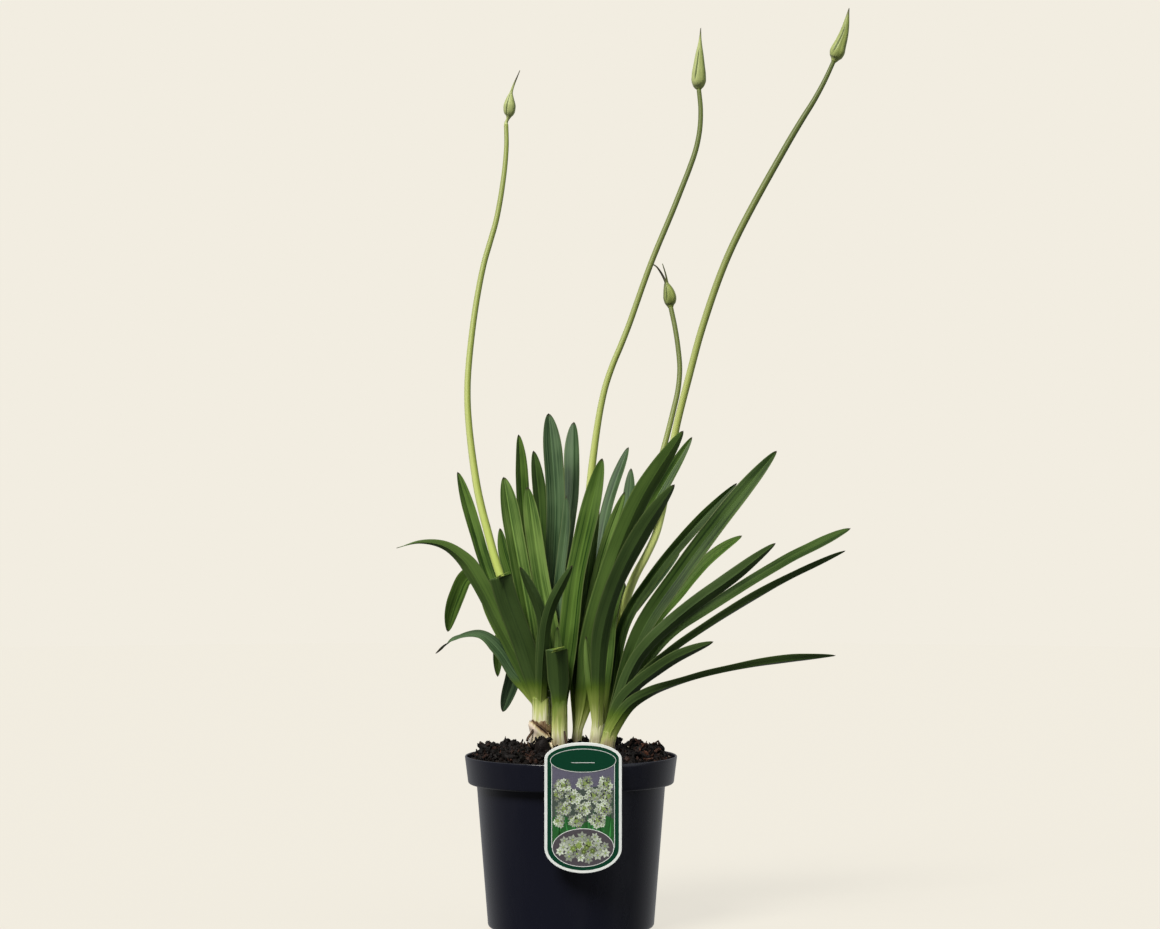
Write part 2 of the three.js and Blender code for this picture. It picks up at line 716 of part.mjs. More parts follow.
/** A closed bud, seated on the end of its stem, with its second beak fused in if it has one. */
function budGeometry(stem, { path, radii, fork }) {
  const line = middleLine(stem);
  const heading = line.getTangentAt(1);
  const seat = line.getPointAt(1).addScaledVector(heading, GAP);
  const neck = seat.clone().addScaledVector(heading, BUD_START);
  const points = [seat, neck, ...path.map(([x, z]) => atDepth(x, z, seat.y))];
  const spine = new THREE.CatmullRomCurve3(points, false, "centripetal");
  const radiusAt = (along) => {
    const place = along * (radii.length - 1);
    const i = Math.min(Math.floor(place), radii.length - 2);
    return THREE.MathUtils.lerp(radii[i], radii[i + 1], place - i);
  };
  const bud = loft(rodRings(spine, radiusAt, 2 * (radii.length - 1)));
  if (!fork) return bud;
  const forkPoints = fork.map(([x, z]) => atDepth(x, z, seat.y));
  const forkLine = new THREE.CatmullRomCurve3(forkPoints, false, "centripetal");
  const forkRadiusAt = (along) => THREE.MathUtils.lerp(FORK.root, FORK.tip, along);
  const beak = loft(rodRings(forkLine, forkRadiusAt, FORK.sections));
  return geometryOf(solid(bud).add(solid(beak)));
}

/** The dry sheath: a thin wrap round the front of the left neck, its top edge falling to one side. */
function drySheathGeometry() {
  const { thickness, foot, frontTop, backTop, from, to, sections } = DRY_SHEATH;
  const { foot: base, half } = SHOOTS.left;
  const swell = Math.max(...NECK.swell);
  const [inner, outer] = [2 * GAP, 2 * GAP + thickness];
  const rings = Array.from({ length: sections + 1 }, (_, k) => {
    const t = k / sections;
    const angle = THREE.MathUtils.degToRad(THREE.MathUtils.lerp(from, to, t));
    const top = THREE.MathUtils.lerp(frontTop, backTop, t);
    const place = (offset, z) =>
      new THREE.Vector3(
        base[0] + (half[0] * swell + offset) * rounded(Math.cos(angle)),
        base[1] + (half[1] * swell + offset) * rounded(Math.sin(angle)),
        z,
      );
    return [place(inner, top), place(outer, top), place(outer, foot), place(inner, foot)];
  });
  return loft(rings);
}

// ---------------------------------------------------------------- the plant

const plant = new THREE.Group();
plant.add(mesh("pot", potGeometry(), "#1b1e26", 0.5));
plant.add(mesh("soil", soilGeometry(), "#2b1e17", 0.95));
plant.add(mesh("care_card", cardGeometry(), "#e9ece6", 0.35));
plant.add(mesh("dry_sheath", drySheathGeometry(), "#b79f78", 0.9));

const stems = {};
for (const [name, shoot] of Object.entries(SHOOTS)) {
  plant.add(mesh(`neck_${name}`, neckGeometry(shoot), "#cfd08c", 0.6));
  for (const layer of seatLayers(shoot)) {
    if (layer.stem) {
      stems[layer.name] = layer;
      plant.add(mesh(layer.name, stemGeometry(layer), "#9aa64a", 0.5));
    } else {
      plant.add(mesh(layer.name, leafGeometry(layer), layer.color, 0.45));
    }
  }
}
for (const [name, bud] of Object.entries(BUDS)) {
  plant.add(mesh(name, budGeometry(stems[bud.on], bud), "#93a352", 0.5));
}

export default plant;
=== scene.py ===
"""A potted agapanthus in bud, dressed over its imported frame.

Every size is in millimetres, in the frame's own axes (+Z up, -Y to the front), and is turned into
metres once, where a surface becomes a mesh. Blades, stems and buds are drawn in front elevation and
carried to their own depth along the lines of sight, in the same way as their solids.
"""

import logging
import math
from dataclasses import dataclass, field
from enum import Enum

import bpy
import numpy as np
from numpy.typing import NDArray
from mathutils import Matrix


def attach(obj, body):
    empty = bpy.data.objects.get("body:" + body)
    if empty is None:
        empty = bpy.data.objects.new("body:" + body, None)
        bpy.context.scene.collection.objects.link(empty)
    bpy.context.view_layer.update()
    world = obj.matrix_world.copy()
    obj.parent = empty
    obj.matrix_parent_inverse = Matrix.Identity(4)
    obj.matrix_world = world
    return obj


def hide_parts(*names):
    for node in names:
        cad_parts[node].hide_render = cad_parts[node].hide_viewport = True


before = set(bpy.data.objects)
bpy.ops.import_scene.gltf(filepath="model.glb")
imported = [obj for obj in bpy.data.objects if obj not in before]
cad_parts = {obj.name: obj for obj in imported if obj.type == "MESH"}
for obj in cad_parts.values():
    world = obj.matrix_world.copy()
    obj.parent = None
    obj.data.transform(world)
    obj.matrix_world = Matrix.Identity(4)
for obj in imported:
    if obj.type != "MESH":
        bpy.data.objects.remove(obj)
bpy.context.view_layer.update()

Array = NDArray[np.float64]
Indices = NDArray[np.int64]
Color = tuple[float, float, float]
Pair = tuple[float, float]
Drawn = tuple[Pair, ...]
Material = bpy.types.Material

log = logging.getLogger("agapanthus")

MM = 0.001
BODY = "root"

# ------------ shared sizes

EYE = np.array([7.2, -2500.0, 370.0])  # the eye that the front elevation is drawn for
SPREAD = 400.0  # run over which a blade's slope away from the front plane doubles
GAP = 0.3  # clearance between pieces that touch
GOLDEN = 2.4  # turn from one floret to the next, in radians
# Painted light: a round piece's colour is made lightest on this side, towards the key light, and darker away
# from it.
PAINTED_LIGHT_SIDE = 0.35  # where a round piece is lightest, in radians from its left side towards the front


@dataclass(frozen=True)
class PotSize:
    """The pot's driving dimensions."""

    height: float = 137.0
    rim_radius: float = 85.0
    rim_foot: float = 82.6
    rim_height: float = 23.0
    groove: float = 1.0  # rise of the rim band's underside towards the wall
    shoulder_radius: float = 75.6
    base_radius: float = 66.7
    wall: float = 1.5
    corner: float = 3.0
    lip: float = 0.7

    def ledge(self, inset: float) -> list[list[float]]:
        """The two points of the step behind the rim band, moved inwards: outer, then inner."""
        height = self.height - self.rim_height + self.groove + inset
        return [[self.rim_foot - inset, height + self.lip], [self.shoulder_radius - inset, height]]


@dataclass(frozen=True)
class SoilSize:
    """The soil's driving dimensions: a narrow bank rises from its edge to a shelf with a low crown."""

    edge: float = 133.0
    shelf: float = 139.5
    crown: float = 145.5
    crown_reach: float = 38.0  # radius over which the crown falls to about a third
    bank_foot: float = 82.0  # radius where the bank starts
    bank_top: float = 70.0
    grain: float = 1.5
    inset: float = 0.95
    bed: float = 120.0


POT = PotSize()
SOIL = SoilSize()


# ------------ arithmetic on whole arrays


def unit(vectors: Array) -> Array:
    """Vectors of length one, along the last axis."""
    return vectors / np.maximum(np.linalg.norm(vectors, axis=-1, keepdims=True), 1e-12)


def mix(a: Array | float, b: Array | float, share: Array | float) -> Array | float:
    """A straight blend from a to b."""
    return a + (b - a) * share


def smooth(value: Array | float, low: float, high: float) -> Array:
    """A smooth step from 0 at low to 1 at high: 3t^2 - 2t^3 of the clipped share t."""
    t = np.clip((np.asarray(value, float) - low) / (high - low), 0.0, 1.0)
    return t * t * (3.0 - 2.0 * t)


def around(count: int) -> Array:
    """Angles at equal steps round a full turn."""
    return np.linspace(0.0, 2.0 * np.pi, count, endpoint=False)


def columns(*parts: Array | float) -> Array:
    """Values side by side along a new last axis, each spread over the shape of all."""
    return np.stack(np.broadcast_arrays(*parts), axis=-1)


def polar(angle: Array, wide: Array | float, tall: Array | float) -> Array:
    """Points [wide cos a, tall sin a]."""
    return columns(wide * np.cos(angle), tall * np.sin(angle))


def superellipse(angle: Array, power: float) -> tuple[Array, Array]:
    """The cosine and the sine, each to the power 2 / power, with their signs kept."""
    c, s = np.cos(angle), np.sin(angle)
    return np.sign(c) * np.abs(c) ** (2.0 / power), np.sign(s) * np.abs(s) ** (2.0 / power)


def bumps(x: Array, y: Array, cell: float, seed: int) -> Array:
    """Smooth random heights from -1 to 1: seeded values on a lattice, joined by smooth steps.

    Args:
        x: First coordinates.
        y: Second coordinates, of the same shape.
        cell: Spacing of the lattice.
        seed: Seed of its values.

    Returns:
        The heights, in the shape of x.
    """
    size = 128
    table = np.random.default_rng(seed).uniform(-1.0, 1.0, (size, size))
    column = np.floor(x / cell).astype(int)
    row = np.floor(y / cell).astype(int)
    u = smooth(x / cell - column, 0.0, 1.0)
    v = smooth(y / cell - row, 0.0, 1.0)
    near = mix(table[column % size, row % size], table[(column + 1) % size, row % size], u)
    far = mix(table[column % size, (row + 1) % size], table[(column + 1) % size, (row + 1) % size], u)
    return mix(near, far, v)


def soil_height(x: Array, y: Array) -> Array:
    """Height of the soil: a smooth bank, a shelf, a crown (a bell curve) and a grain of sine waves."""
    radius = np.hypot(x, y)
    bank = 1.0 - smooth(radius, SOIL.bank_top, SOIL.bank_foot)
    crown = np.exp(-((radius / SOIL.crown_reach) ** 2))
    grain = np.sin(0.31 * x + 0.9) * np.cos(0.27 * y) + 0.6 * np.sin(0.62 * y - 0.41 * x)
    rise = (SOIL.shelf - SOIL.edge) * bank + (SOIL.crown - SOIL.shelf) * crown
    return SOIL.edge + rise + SOIL.grain * grain


def at_depth(drawn: Array, depth: Array) -> Array:
    """Points drawn in front elevation as [x, z], carried along the lines of sight to depths y."""
    reach = (depth - EYE[1]) / -EYE[1]
    x = EYE[0] + (drawn[:, 0] - EYE[0]) * reach
    z = EYE[2] + (drawn[:, 1] - EYE[2]) * reach
    return np.column_stack([x, depth, z])


def level(path: Drawn, depth: float) -> Array:
    """A drawn path carried to one depth."""
    return at_depth(np.array(path, float), np.full(len(path), depth))


def catmull_rom(points: Array, samples: int = 40) -> Array:
    """A centripetal Catmull-Rom curve through points, as a dense line.

    Each span is a cubic Hermite piece. Its end slopes are the non-uniform three-point slopes over
    knots spaced by the square root of the chord, and the line is carried on straight at both ends.

    Args:
        points: The points to pass through, one for each row.
        samples: Number of steps in each span.

    Returns:
        The dense line's points.
    """
    spread = np.vstack([2 * points[0] - points[1], points, 2 * points[-1] - points[-2]])
    knots = np.sqrt(np.maximum(np.linalg.norm(np.diff(spread, axis=0), axis=1), 1e-6))[:, None]
    before, start, end, after = spread[:-3], spread[1:-2], spread[2:-1], spread[3:]
    k0, k1, k2 = knots[:-2], knots[1:-1], knots[2:]
    leave = ((start - before) / k0 - (end - before) / (k0 + k1) + (end - start) / k1) * k1
    arrive = ((end - start) / k1 - (after - start) / (k1 + k2) + (after - end) / k2) * k1
    t = np.linspace(0.0, 1.0, samples, endpoint=False)[None, :, None]
    start, end, leave, arrive = (v[:, None, :] for v in (start, end, leave, arrive))
    curve = (2 * t**3 - 3 * t**2 + 1) * start + (t**3 - 2 * t**2 + t) * leave
    curve = curve + (3 * t**2 - 2 * t**3) * end + (t**3 - t**2) * arrive
    return np.vstack([curve.reshape(-1, points.shape[1]), points[-1:]])


class Rail:
    """A smooth line that shapes are carried along, measured by its arc length."""

    def __init__(self, dense: Array) -> None:
        """Measures a dense line of points."""
        self.dense = dense
        steps = np.linalg.norm(np.diff(dense, axis=0), axis=1)
        self.arc = np.concatenate([[0.0], np.cumsum(steps)])
        self.length = float(self.arc[-1])

    def at(self, run: Array) -> Array:
        """Points at arc lengths."""
        return np.column_stack([np.interp(run, self.arc, self.dense[:, i]) for i in range(3)])

    def heading(self, run: Array, reach: float = 1.2) -> Array:
        """Unit tangents at arc lengths: the chord between points a little before and after."""
        back = np.clip(run - reach, 0.0, self.length)
        ahead = np.clip(run + reach, 0.0, self.length)
        return unit(self.at(ahead) - self.at(back))


def facing_frames(tangents: Array) -> tuple[Array, Array]:
    """For each tangent, the direction across it in front view and the one that faces the front.

    Returns:
        across: The front direction crossed with the tangent.
        front: The tangent crossed with across.
    """
    across = unit(np.cross(np.array([0.0, -1.0, 0.0]), tangents))
    return across, np.cross(tangents, across)


def round_rings(rail: Rail, run: Array, angle: Array, radius: Array, reach: float = 1.2) -> Array:
    """Rings round a rail: its point plus the radius times (across cos a + front sin a).

    Args:
        rail: The middle line.
        run: The rings' arc lengths.
        angle: The angle a of each point in a ring.
        radius: Radii, of shape (rings, points in a ring).
        reach: How far before and after a ring its heading is measured.

    Returns:
        Points of shape (rings, points in a ring, 3).
    """
    across, front = facing_frames(rail.heading(run, reach))
    sweep = np.cos(angle)[:, None] * across[:, None, :] + np.sin(angle)[:, None] * front[:, None, :]
    return rail.at(run)[:, None, :] + radius[..., None] * sweep


def round_strap(angle: Array, radius: Array | float, run: Array) -> Array:
    """The "strap" of a round piece: [radius cos a, radius sin a, run], which has no seam round it."""
    return columns(radius * np.cos(angle), radius * np.sin(angle), run)


# ------------ surfaces and meshes


@dataclass
class Surface:
    """Points in millimetres, the faces over them and values kept at the points."""

    points: Array
    quads: Indices = field(default_factory=lambda: np.empty((0, 4), np.int64))
    triangles: Indices = field(default_factory=lambda: np.empty((0, 3), np.int64))
    values: dict[str, Array] = field(default_factory=dict)


def joined(surfaces: list[Surface]) -> Surface:
    """Several surfaces as one, with the values that the first one has."""
    starts = np.cumsum([0] + [len(s.points) for s in surfaces[:-1]])
    return Surface(
        np.vstack([s.points for s in surfaces]),
        np.vstack([s.quads + start for s, start in zip(surfaces, starts)]),
        np.vstack([s.triangles + start for s, start in zip(surfaces, starts)]),
        {key: np.concatenate([s.values[key] for s in surfaces]) for key in surfaces[0].values},
    )


def skin(rings: Array, values: dict[str, Array] | None = None) -> Surface:
    """A closed skin over rings of points, with a fan of triangles over each end.

    Quads join each ring to the next; a fan joins the first and the last ring to its own middle.

    Args:
        rings: Points of shape (rings, points in a ring, 3), counter-clockwise as seen from the
            far end.
        values: Values for each point, of shape (rings, points in a ring) or with 3 columns more.

    Returns:
        The closed surface.
    """
    count, size, _ = rings.shape
    grid = np.arange(count * size).reshape(count, size)
    onward = np.roll(grid, -1, axis=1)
    quads = np.stack([grid[:-1], onward[:-1], onward[1:], grid[1:]], axis=-1).reshape(-1, 4)
    first, last = count * size, count * size + 1
    near = np.column_stack([onward[0], grid[0], np.full(size, first)])
    far = np.column_stack([grid[-1], onward[-1], np.full(size, last)])
    middles = np.stack([rings[0].mean(axis=0), rings[-1].mean(axis=0)])
    kept = {}
    for key, value in (values or {}).items():
        flat = value.reshape(count * size, *value.shape[2:])
        ends = np.stack([value[0].mean(axis=0), value[-1].mean(axis=0)])
        kept[key] = np.concatenate([flat, ends])
    return Surface(np.vstack([rings.reshape(-1, 3), middles]), quads, np.vstack([near, far]), kept)


def revolved(profile: Array, sides: int, wave: Array | float = 0.0) -> Surface:
    """A profile turned about the Z axis, from one pole to the other.

    Each profile point [r, z] becomes a circle r (cos a, sin a), and the first and the last point,
    which lie on the axis, become the poles. The profile runs from the lowest pole outwards and up.

    Args:
        profile: Points as [radius, height].
        sides: Points in each circle.
        wave: Height added to each point of the circles, of shape (circles, sides).

    Returns:
        The closed surface.
    """
    angle = around(sides)
    rows = profile[1:-1]
    surface = skin(columns(rows[:, :1] * np.cos(angle), rows[:, :1] * np.sin(angle), rows[:, 1:] + wave))
    surface.points[-2] = [0.0, 0.0, profile[0, 1]]
    surface.points[-1] = [0.0, 0.0, profile[-1, 1] + (np.mean(wave[-1]) if np.ndim(wave) else 0.0)]
    return surface


def linked(name: str, data: bpy.types.ID) -> bpy.types.Object:
    """Puts a new object into the scene for a mesh, a light or a camera."""
    made = bpy.data.objects.new(name, data)
    bpy.context.scene.collection.objects.link(made)
    return made


def mesh_of(name: str, surface: Surface) -> bpy.types.Mesh:
    """A surface as a mesh, in metres, with the values kept at its points."""
    mesh = bpy.data.meshes.new(name)
    sizes = np.concatenate([np.full(len(surface.quads), 4), np.full(len(surface.triangles), 3)])
    corners = np.concatenate([surface.quads.ravel(), surface.triangles.ravel()]).astype(np.int32)
    mesh.vertices.add(len(surface.points))
    mesh.vertices.foreach_set("co", (surface.points * MM).astype(np.float32).ravel())
    mesh.loops.add(len(corners))
    mesh.loops.foreach_set("vertex_index", corners)
    mesh.polygons.add(len(sizes))
    mesh.polygons.foreach_set("loop_start", np.concatenate([[0], np.cumsum(sizes)[:-1]]).astype(np.int32))
    for key, value in surface.values.items():
        kind = "FLOAT_VECTOR" if value.ndim == 2 else "FLOAT"
        attribute = mesh.attributes.new(key, kind, "POINT")
        attribute.data.foreach_set("vector" if value.ndim == 2 else "value", value.astype(np.float32).ravel())
    mesh.update(calc_edges=True)
    return mesh


def shade_smooth(mesh: bpy.types.Mesh, sharp: float) -> None:
    """Shades a mesh smooth, except over edges between faces at more than an angle in degrees."""
    mesh.polygons.foreach_set("use_smooth", np.ones(len(mesh.polygons), bool))
    if sharp < 180.0:
        mesh.set_sharp_from_angle(angle=math.radians(sharp))


def make_piece(
    name: str, surface: Surface, material: Material, slot: str, *nodes: str, sharp: float = 180.0
) -> bpy.types.Object:
    """Puts a surface into a mesh object that rides on the plant's body.

    Args:
        name: The piece's name.
        surface: Its closed surface.
        material: Its finish.
        slot: The name of the record's material slot; not used.
        nodes: The CAD nodes that it stands for.
        sharp: Angle between faces, in degrees, past which an edge isn't shaded smooth.

    Returns:
        The new object.
    """
    mesh = mesh_of(name, surface)
    shade_smooth(mesh, sharp)
    mesh.materials.append(material)
    piece = linked(name, mesh)
    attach(piece, BODY)
    if nodes:
        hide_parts(*nodes)
    log.info("%s: %d faces", name, len(mesh.polygons))
    return piece


# ------------ node trees


Socket = bpy.types.NodeSocket
Feed = Socket | float | Color


class Tree:
    """The node tree of a material or a world, written as calls that pass sockets on."""

    def __init__(self, owner: Material | bpy.types.World) -> None:
        """Takes up the owner's own nodes."""
        owner.use_nodes = True
        self.owner = owner
        self.nodes = owner.node_tree.nodes
        self.links = owner.node_tree.links

    def feed(self, inlet: Socket, value: Feed) -> None:
        """Links a socket to an inlet, or sets the inlet to a value."""
        if isinstance(value, bpy.types.NodeSocket):
            self.links.new(value, inlet)
        elif inlet.type == "RGBA":
            inlet.default_value = (*value, 1.0)
        else:
            inlet.default_value = value

    def node(self, kind: str, feeds: dict[int | str, Feed], **settings: object) -> bpy.types.Node:
        """Adds a node, with its settings and what feeds it."""
        made = self.nodes.new(kind)
        for key, value in settings.items():
            setattr(made, key, value)
        for key, value in feeds.items():
            self.feed(made.inputs[key], value)
        return made

    def vector(self, name: str) -> Socket:
        """A vector kept at the points."""
        return self.node("ShaderNodeAttribute", {}, attribute_name=name).outputs["Vector"]

    def number(self, name: str) -> Socket:
        """A number kept at the points."""
        return self.node("ShaderNodeAttribute", {}, attribute_name=name).outputs["Fac"]

    def place(self) -> Socket:
        """The object's own coordinates, in metres."""
        return self.node("ShaderNodeTexCoord", {}).outputs["Object"]

    def split(self, vector: Socket) -> tuple[Socket, Socket, Socket]:
        """A vector's three parts."""
        outputs = self.node("ShaderNodeSeparateXYZ", {0: vector}).outputs
        return outputs[0], outputs[1], outputs[2]

    def scaled(self, vector: Socket, by: Color) -> Socket:
        """A vector times another, part by part."""
        return self.node("ShaderNodeVectorMath", {0: vector, 1: by}, operation="MULTIPLY").outputs[0]

    def math(self, operation: str, a: Feed, b: Feed = 0.0, c: Feed = 0.0) -> Socket:
        """One sum on two or three numbers."""
        return self.node("ShaderNodeMath", {0: a, 1: b, 2: c}, operation=operation).outputs[0]

    def step(self, value: Feed, low: float, high: float, start: float = 0.0, end: float = 1.0) -> Socket:
        """A smooth step of a value between two limits, from start to end."""
        feeds = {0: value, 1: low, 2: high, 3: start, 4: end}
        made = self.node("ShaderNodeMapRange", feeds, interpolation_type="SMOOTHSTEP")
        return made.outputs[0]

    def mix(self, share: Feed, a: Feed, b: Feed, how: str = "MIX") -> Socket:
        """A blend of two colours."""
        made = self.node("ShaderNodeMix", {0: share, 6: a, 7: b}, data_type="RGBA", blend_type=how)
        return made.outputs[2]

    def noise(self, vector: Socket, scale: float, detail: float = 3.0, rough: float = 0.55) -> Socket:
        """Fractal noise from about 0.25 to 0.75."""
        feeds = {"Vector": vector, "Scale": scale, "Detail": detail, "Roughness": rough}
        return self.node("ShaderNodeTexNoise", feeds).outputs[0]

    def ramp(self, value: Feed, stops: tuple[tuple[float, Color], ...]) -> Socket:
        """Colours along a value, one for each stop."""
        made = self.node("ShaderNodeValToRGB", {0: value})
        elements = made.color_ramp.elements
        while len(elements) < len(stops):
            elements.new(1.0)
        for element, (place, color) in zip(elements, stops):
            element.position = place
            element.color = (*color, 1.0)
        return made.outputs[0]

    def bump(self, height: Socket, strength: float, depth: float) -> Socket:
        """A bumped normal; depth is in millimetres."""
        feeds = {"Height": height, "Strength": strength, "Distance": depth * MM}
        return self.node("ShaderNodeBump", feeds).outputs[0]

    def finish(
        self,
        color: Feed,
        roughness: Feed,
        gleam: float,
        normal: Socket | None = None,
        **constants: float | Color,
    ) -> Material:
        """Feeds the shader and returns the material.

        Args:
            color: The base colour.
            roughness: The roughness.
            gleam: The level of its specular reflection, 0.5 for plain plastic.
            normal: A bumped normal.
            constants: The shader's other inputs by name, with _ for a space, set on their sockets.

        Returns:
            The finished material.
        """
        shader = next(n for n in self.nodes if n.type == "BSDF_PRINCIPLED")
        self.feed(shader.inputs["Base Color"], color)
        self.feed(shader.inputs["Roughness"], roughness)
        self.feed(shader.inputs["Specular IOR Level"], gleam)
        if normal is not None:
            self.feed(shader.inputs["Normal"], normal)
        for key, value in constants.items():
            self.feed(shader.inputs[key.replace("_", " ")], value)
        return self.owner


# ------------ finishes

CREAM = (0.72, 0.71, 0.47)  # the palest skin, low on a shoot
LEMON = (0.48, 0.52, 0.18)
SPRING = (0.20, 0.26, 0.05)
OLIVE = (0.075, 0.13, 0.014)  # where a pale foot has all but turned green
MARGIN = (0.20, 0.23, 0.08)
BROWN = (0.035, 0.024, 0.016)  # dry tips
UNDERSIDE = 0.012  # grey that a blade's lower face has on top of its green


def lighter(color: Color, times: float) -> Color:
    """A colour times a number."""
    return tuple(times * part for part in color)


def greening(tree: Tree, green: Feed, pale: Socket, streaks: Socket) -> Socket:
    """Lays the colours of a pale foot over a green, with their borders drawn out by streaks.

    Args:
        tree: The node tree.
        green: The colour where nothing is pale.
        pale: Paleness, from 0 to 1.
        streaks: Noise about 0.5.

    Returns:
        The colour.
    """
    wash = tree.math("MULTIPLY", pale, tree.math("MULTIPLY_ADD", streaks, 1.5, 0.25))
    color = tree.mix(tree.step(wash, 0.0, 0.2), green, OLIVE)
    color = tree.mix(tree.step(wash, 0.1, 0.5), color, SPRING)
    color = tree.mix(tree.step(wash, 0.45, 0.8), color, LEMON)
    return tree.mix(tree.step(wash, 0.75, 0.98), color, CREAM)


@dataclass(frozen=True)
class Finish:
    """What the finishes share: a name, and a material that each dresses with its own nodes."""

    name: str

    def material(self) -> Material:
        """The finish as a new material."""
        return self.dress(Tree(bpy.data.materials.new(self.name)))

    def dress(self, tree: Tree) -> Material:
        """Lays the nodes; each finish has its own."""
        raise NotImplementedError


@dataclass(frozen=True)
class LeafFinish(Finish):
    """A waxy strap leaf: two greens in long streaks, a pale foot, a light rib and a brown tip.

    It reads two vectors kept at the points: "strap", which is [millimetres across, a number of the
    leaf's own, millimetres along], and "growth", which is [place across from -1 to 1, paleness,
    dryness]; and the number "upper", 1 on the upper face and 0 on the lower.
    """

    deep: Color
    bright: Color
    rib: float = 0.35  # how much lighter the rib is
    rib_half: float = 0.13  # its half width, over the blade's
    vein: float = 0.45
    specular: float = 0.14

    def dress(self, tree: Tree) -> Material:
        """Lays its nodes in a tree."""
        strap = tree.vector("strap")
        across, pale, dry = tree.split(tree.vector("growth"))
        upper = tree.number("upper")
        streaks = tree.noise(tree.scaled(strap, (0.38, 7.0, 0.005)), 1.0, 3.0)
        veins = tree.noise(tree.scaled(strap, (0.95, 3.0, 0.004)), 1.0, 1.0)
        clouds = tree.noise(tree.scaled(strap, (0.05, 11.0, 0.022)), 1.0, 2.0)
        share = tree.math("MULTIPLY_ADD", clouds, 0.4, tree.math("MULTIPLY", streaks, 0.6))
        green = tree.mix(tree.step(share, 0.42, 0.6), self.deep, self.bright)
        green = tree.mix(tree.step(veins, 0.42, 0.62, 0.0, self.vein), green, lighter(self.bright, 1.15))
        off = tree.math("ABSOLUTE", across)
        green = tree.mix(tree.step(off, 0.0, self.rib_half, self.rib, 0.0), green, lighter(self.bright, 1.6))
        green = tree.mix(tree.step(off, 0.86, 0.97, 0.0, 0.35), green, MARGIN)
        under = tuple(c + UNDERSIDE for c in lighter(self.bright, 0.9))
        green = tree.mix(tree.step(upper, 0.0, 1.0, 0.5, 0.0), green, under)
        green = greening(tree, green, pale, streaks)
        green = tree.mix(tree.step(dry, 0.25, 1.0), green, BROWN)
        gloss = tree.step(clouds, 0.3, 0.7, 0.42, 0.55)
        return tree.finish(green, gloss, self.specular, tree.bump(streaks, 0.5, 0.12))


@dataclass(frozen=True)
class ShootFinish(Finish):
    """The pale skin of a shoot's neck: cream below, yellow-green above, with fine upright fibres.

    It reads "growth" as a leaf does, and "strap", which on round pieces is [millimetres to the side,
    millimetres to the front, millimetres along].
    """

    name: str = "shoot_skin"
    fibre: Color = (0.46, 0.42, 0.22)
    patch: Color = (0.52, 0.36, 0.20)
    earth: Color = (0.20, 0.145, 0.085)

    def dress(self, tree: Tree) -> Material:
        """Lays its nodes in a tree."""
        strap = tree.vector("strap")
        _, pale, dry = tree.split(tree.vector("growth"))
        fibres = tree.noise(tree.scaled(strap, (0.7, 0.7, 0.02)), 1.0, 2.0)
        patches = tree.noise(tree.scaled(strap, (0.14, 0.14, 0.05)), 1.0, 2.0)
        skin_color = greening(tree, OLIVE, pale, fibres)
        for noise, most, color in ((fibres, 0.35, self.fibre), (patches, 0.25, self.patch)):
            share = tree.math("MULTIPLY", tree.step(noise, 0.52, 0.7, 0.0, most), pale)
            skin_color = tree.mix(share, skin_color, color)
        spread = tree.math("MULTIPLY", dry, 1.4)
        soiled = tree.math("MULTIPLY_ADD", tree.math("SUBTRACT", patches, 0.5), spread, dry)
        skin_color = tree.mix(tree.step(soiled, 0.1, 1.0), skin_color, self.earth)
        return tree.finish(skin_color, 0.46, 0.3, tree.bump(fibres, 0.45, 0.12))


@dataclass(frozen=True)
class StemFinish(Finish):
    """A scape's skin: yellow-green, with painted light down one side and painted shade down the other,
    a painted highlight along the lit edge, darker towards the bud, finely ribbed.

    It reads "strap" and "growth", where the first part of growth is the place round the stem that sets
    the painted light, from -1 on its right to 1 on its left.
    """

    name: str = "scape_skin"
    # shade and lit: painted shade and painted light on the sides away from and towards the key light; edge: a
    # painted highlight down the lit edge.
    shade: Color = (0.26, 0.32, 0.045)
    lit: Color = (0.45, 0.51, 0.13)
    edge: Color = (0.58, 0.62, 0.27)
    dark: Color = (0.05, 0.075, 0.016)
    rib: Color = (0.32, 0.37, 0.08)
    # low and lowest: the pale low part, partly the stem's own pale foot and partly painted light where it
    # lies in shade.
    low: Color = (0.50, 0.60, 0.135)
    lowest: Color = (0.70, 0.78, 0.25)

    def dress(self, tree: Tree) -> Material:
        """Lays its nodes in a tree."""
        strap = tree.vector("strap")
        side, pale, dark = tree.split(tree.vector("growth"))
        ribs = tree.noise(tree.scaled(strap, (0.8, 0.8, 0.004)), 1.0, 1.0)
        clouds = tree.noise(tree.scaled(strap, (0.05, 0.05, 0.012)), 1.0, 2.0)
        turn = tree.math("MULTIPLY_ADD", tree.math("SUBTRACT", clouds, 0.5), 0.2, side)
        # Painted light: lighter towards the key light, with a painted highlight down the lit edge.
        skin_color = tree.mix(tree.step(turn, -0.8, 0.8), self.shade, self.lit)
        layers = (
            (tree.step(turn, 0.45, 0.95, 0.0, 0.6), self.edge),
            (dark, self.dark),
            (tree.step(ribs, 0.45, 0.65, 0.0, 0.12), self.rib),
            # The pale low part: partly the stem's own pale foot, partly painted light.
            (tree.step(pale, 0.0, 0.75), self.low),
            (tree.step(pale, 0.78, 0.95), self.lowest),
        )
        for share, color in layers:
            skin_color = tree.mix(share, skin_color, color)
        return tree.finish(skin_color, 0.45, 0.3)


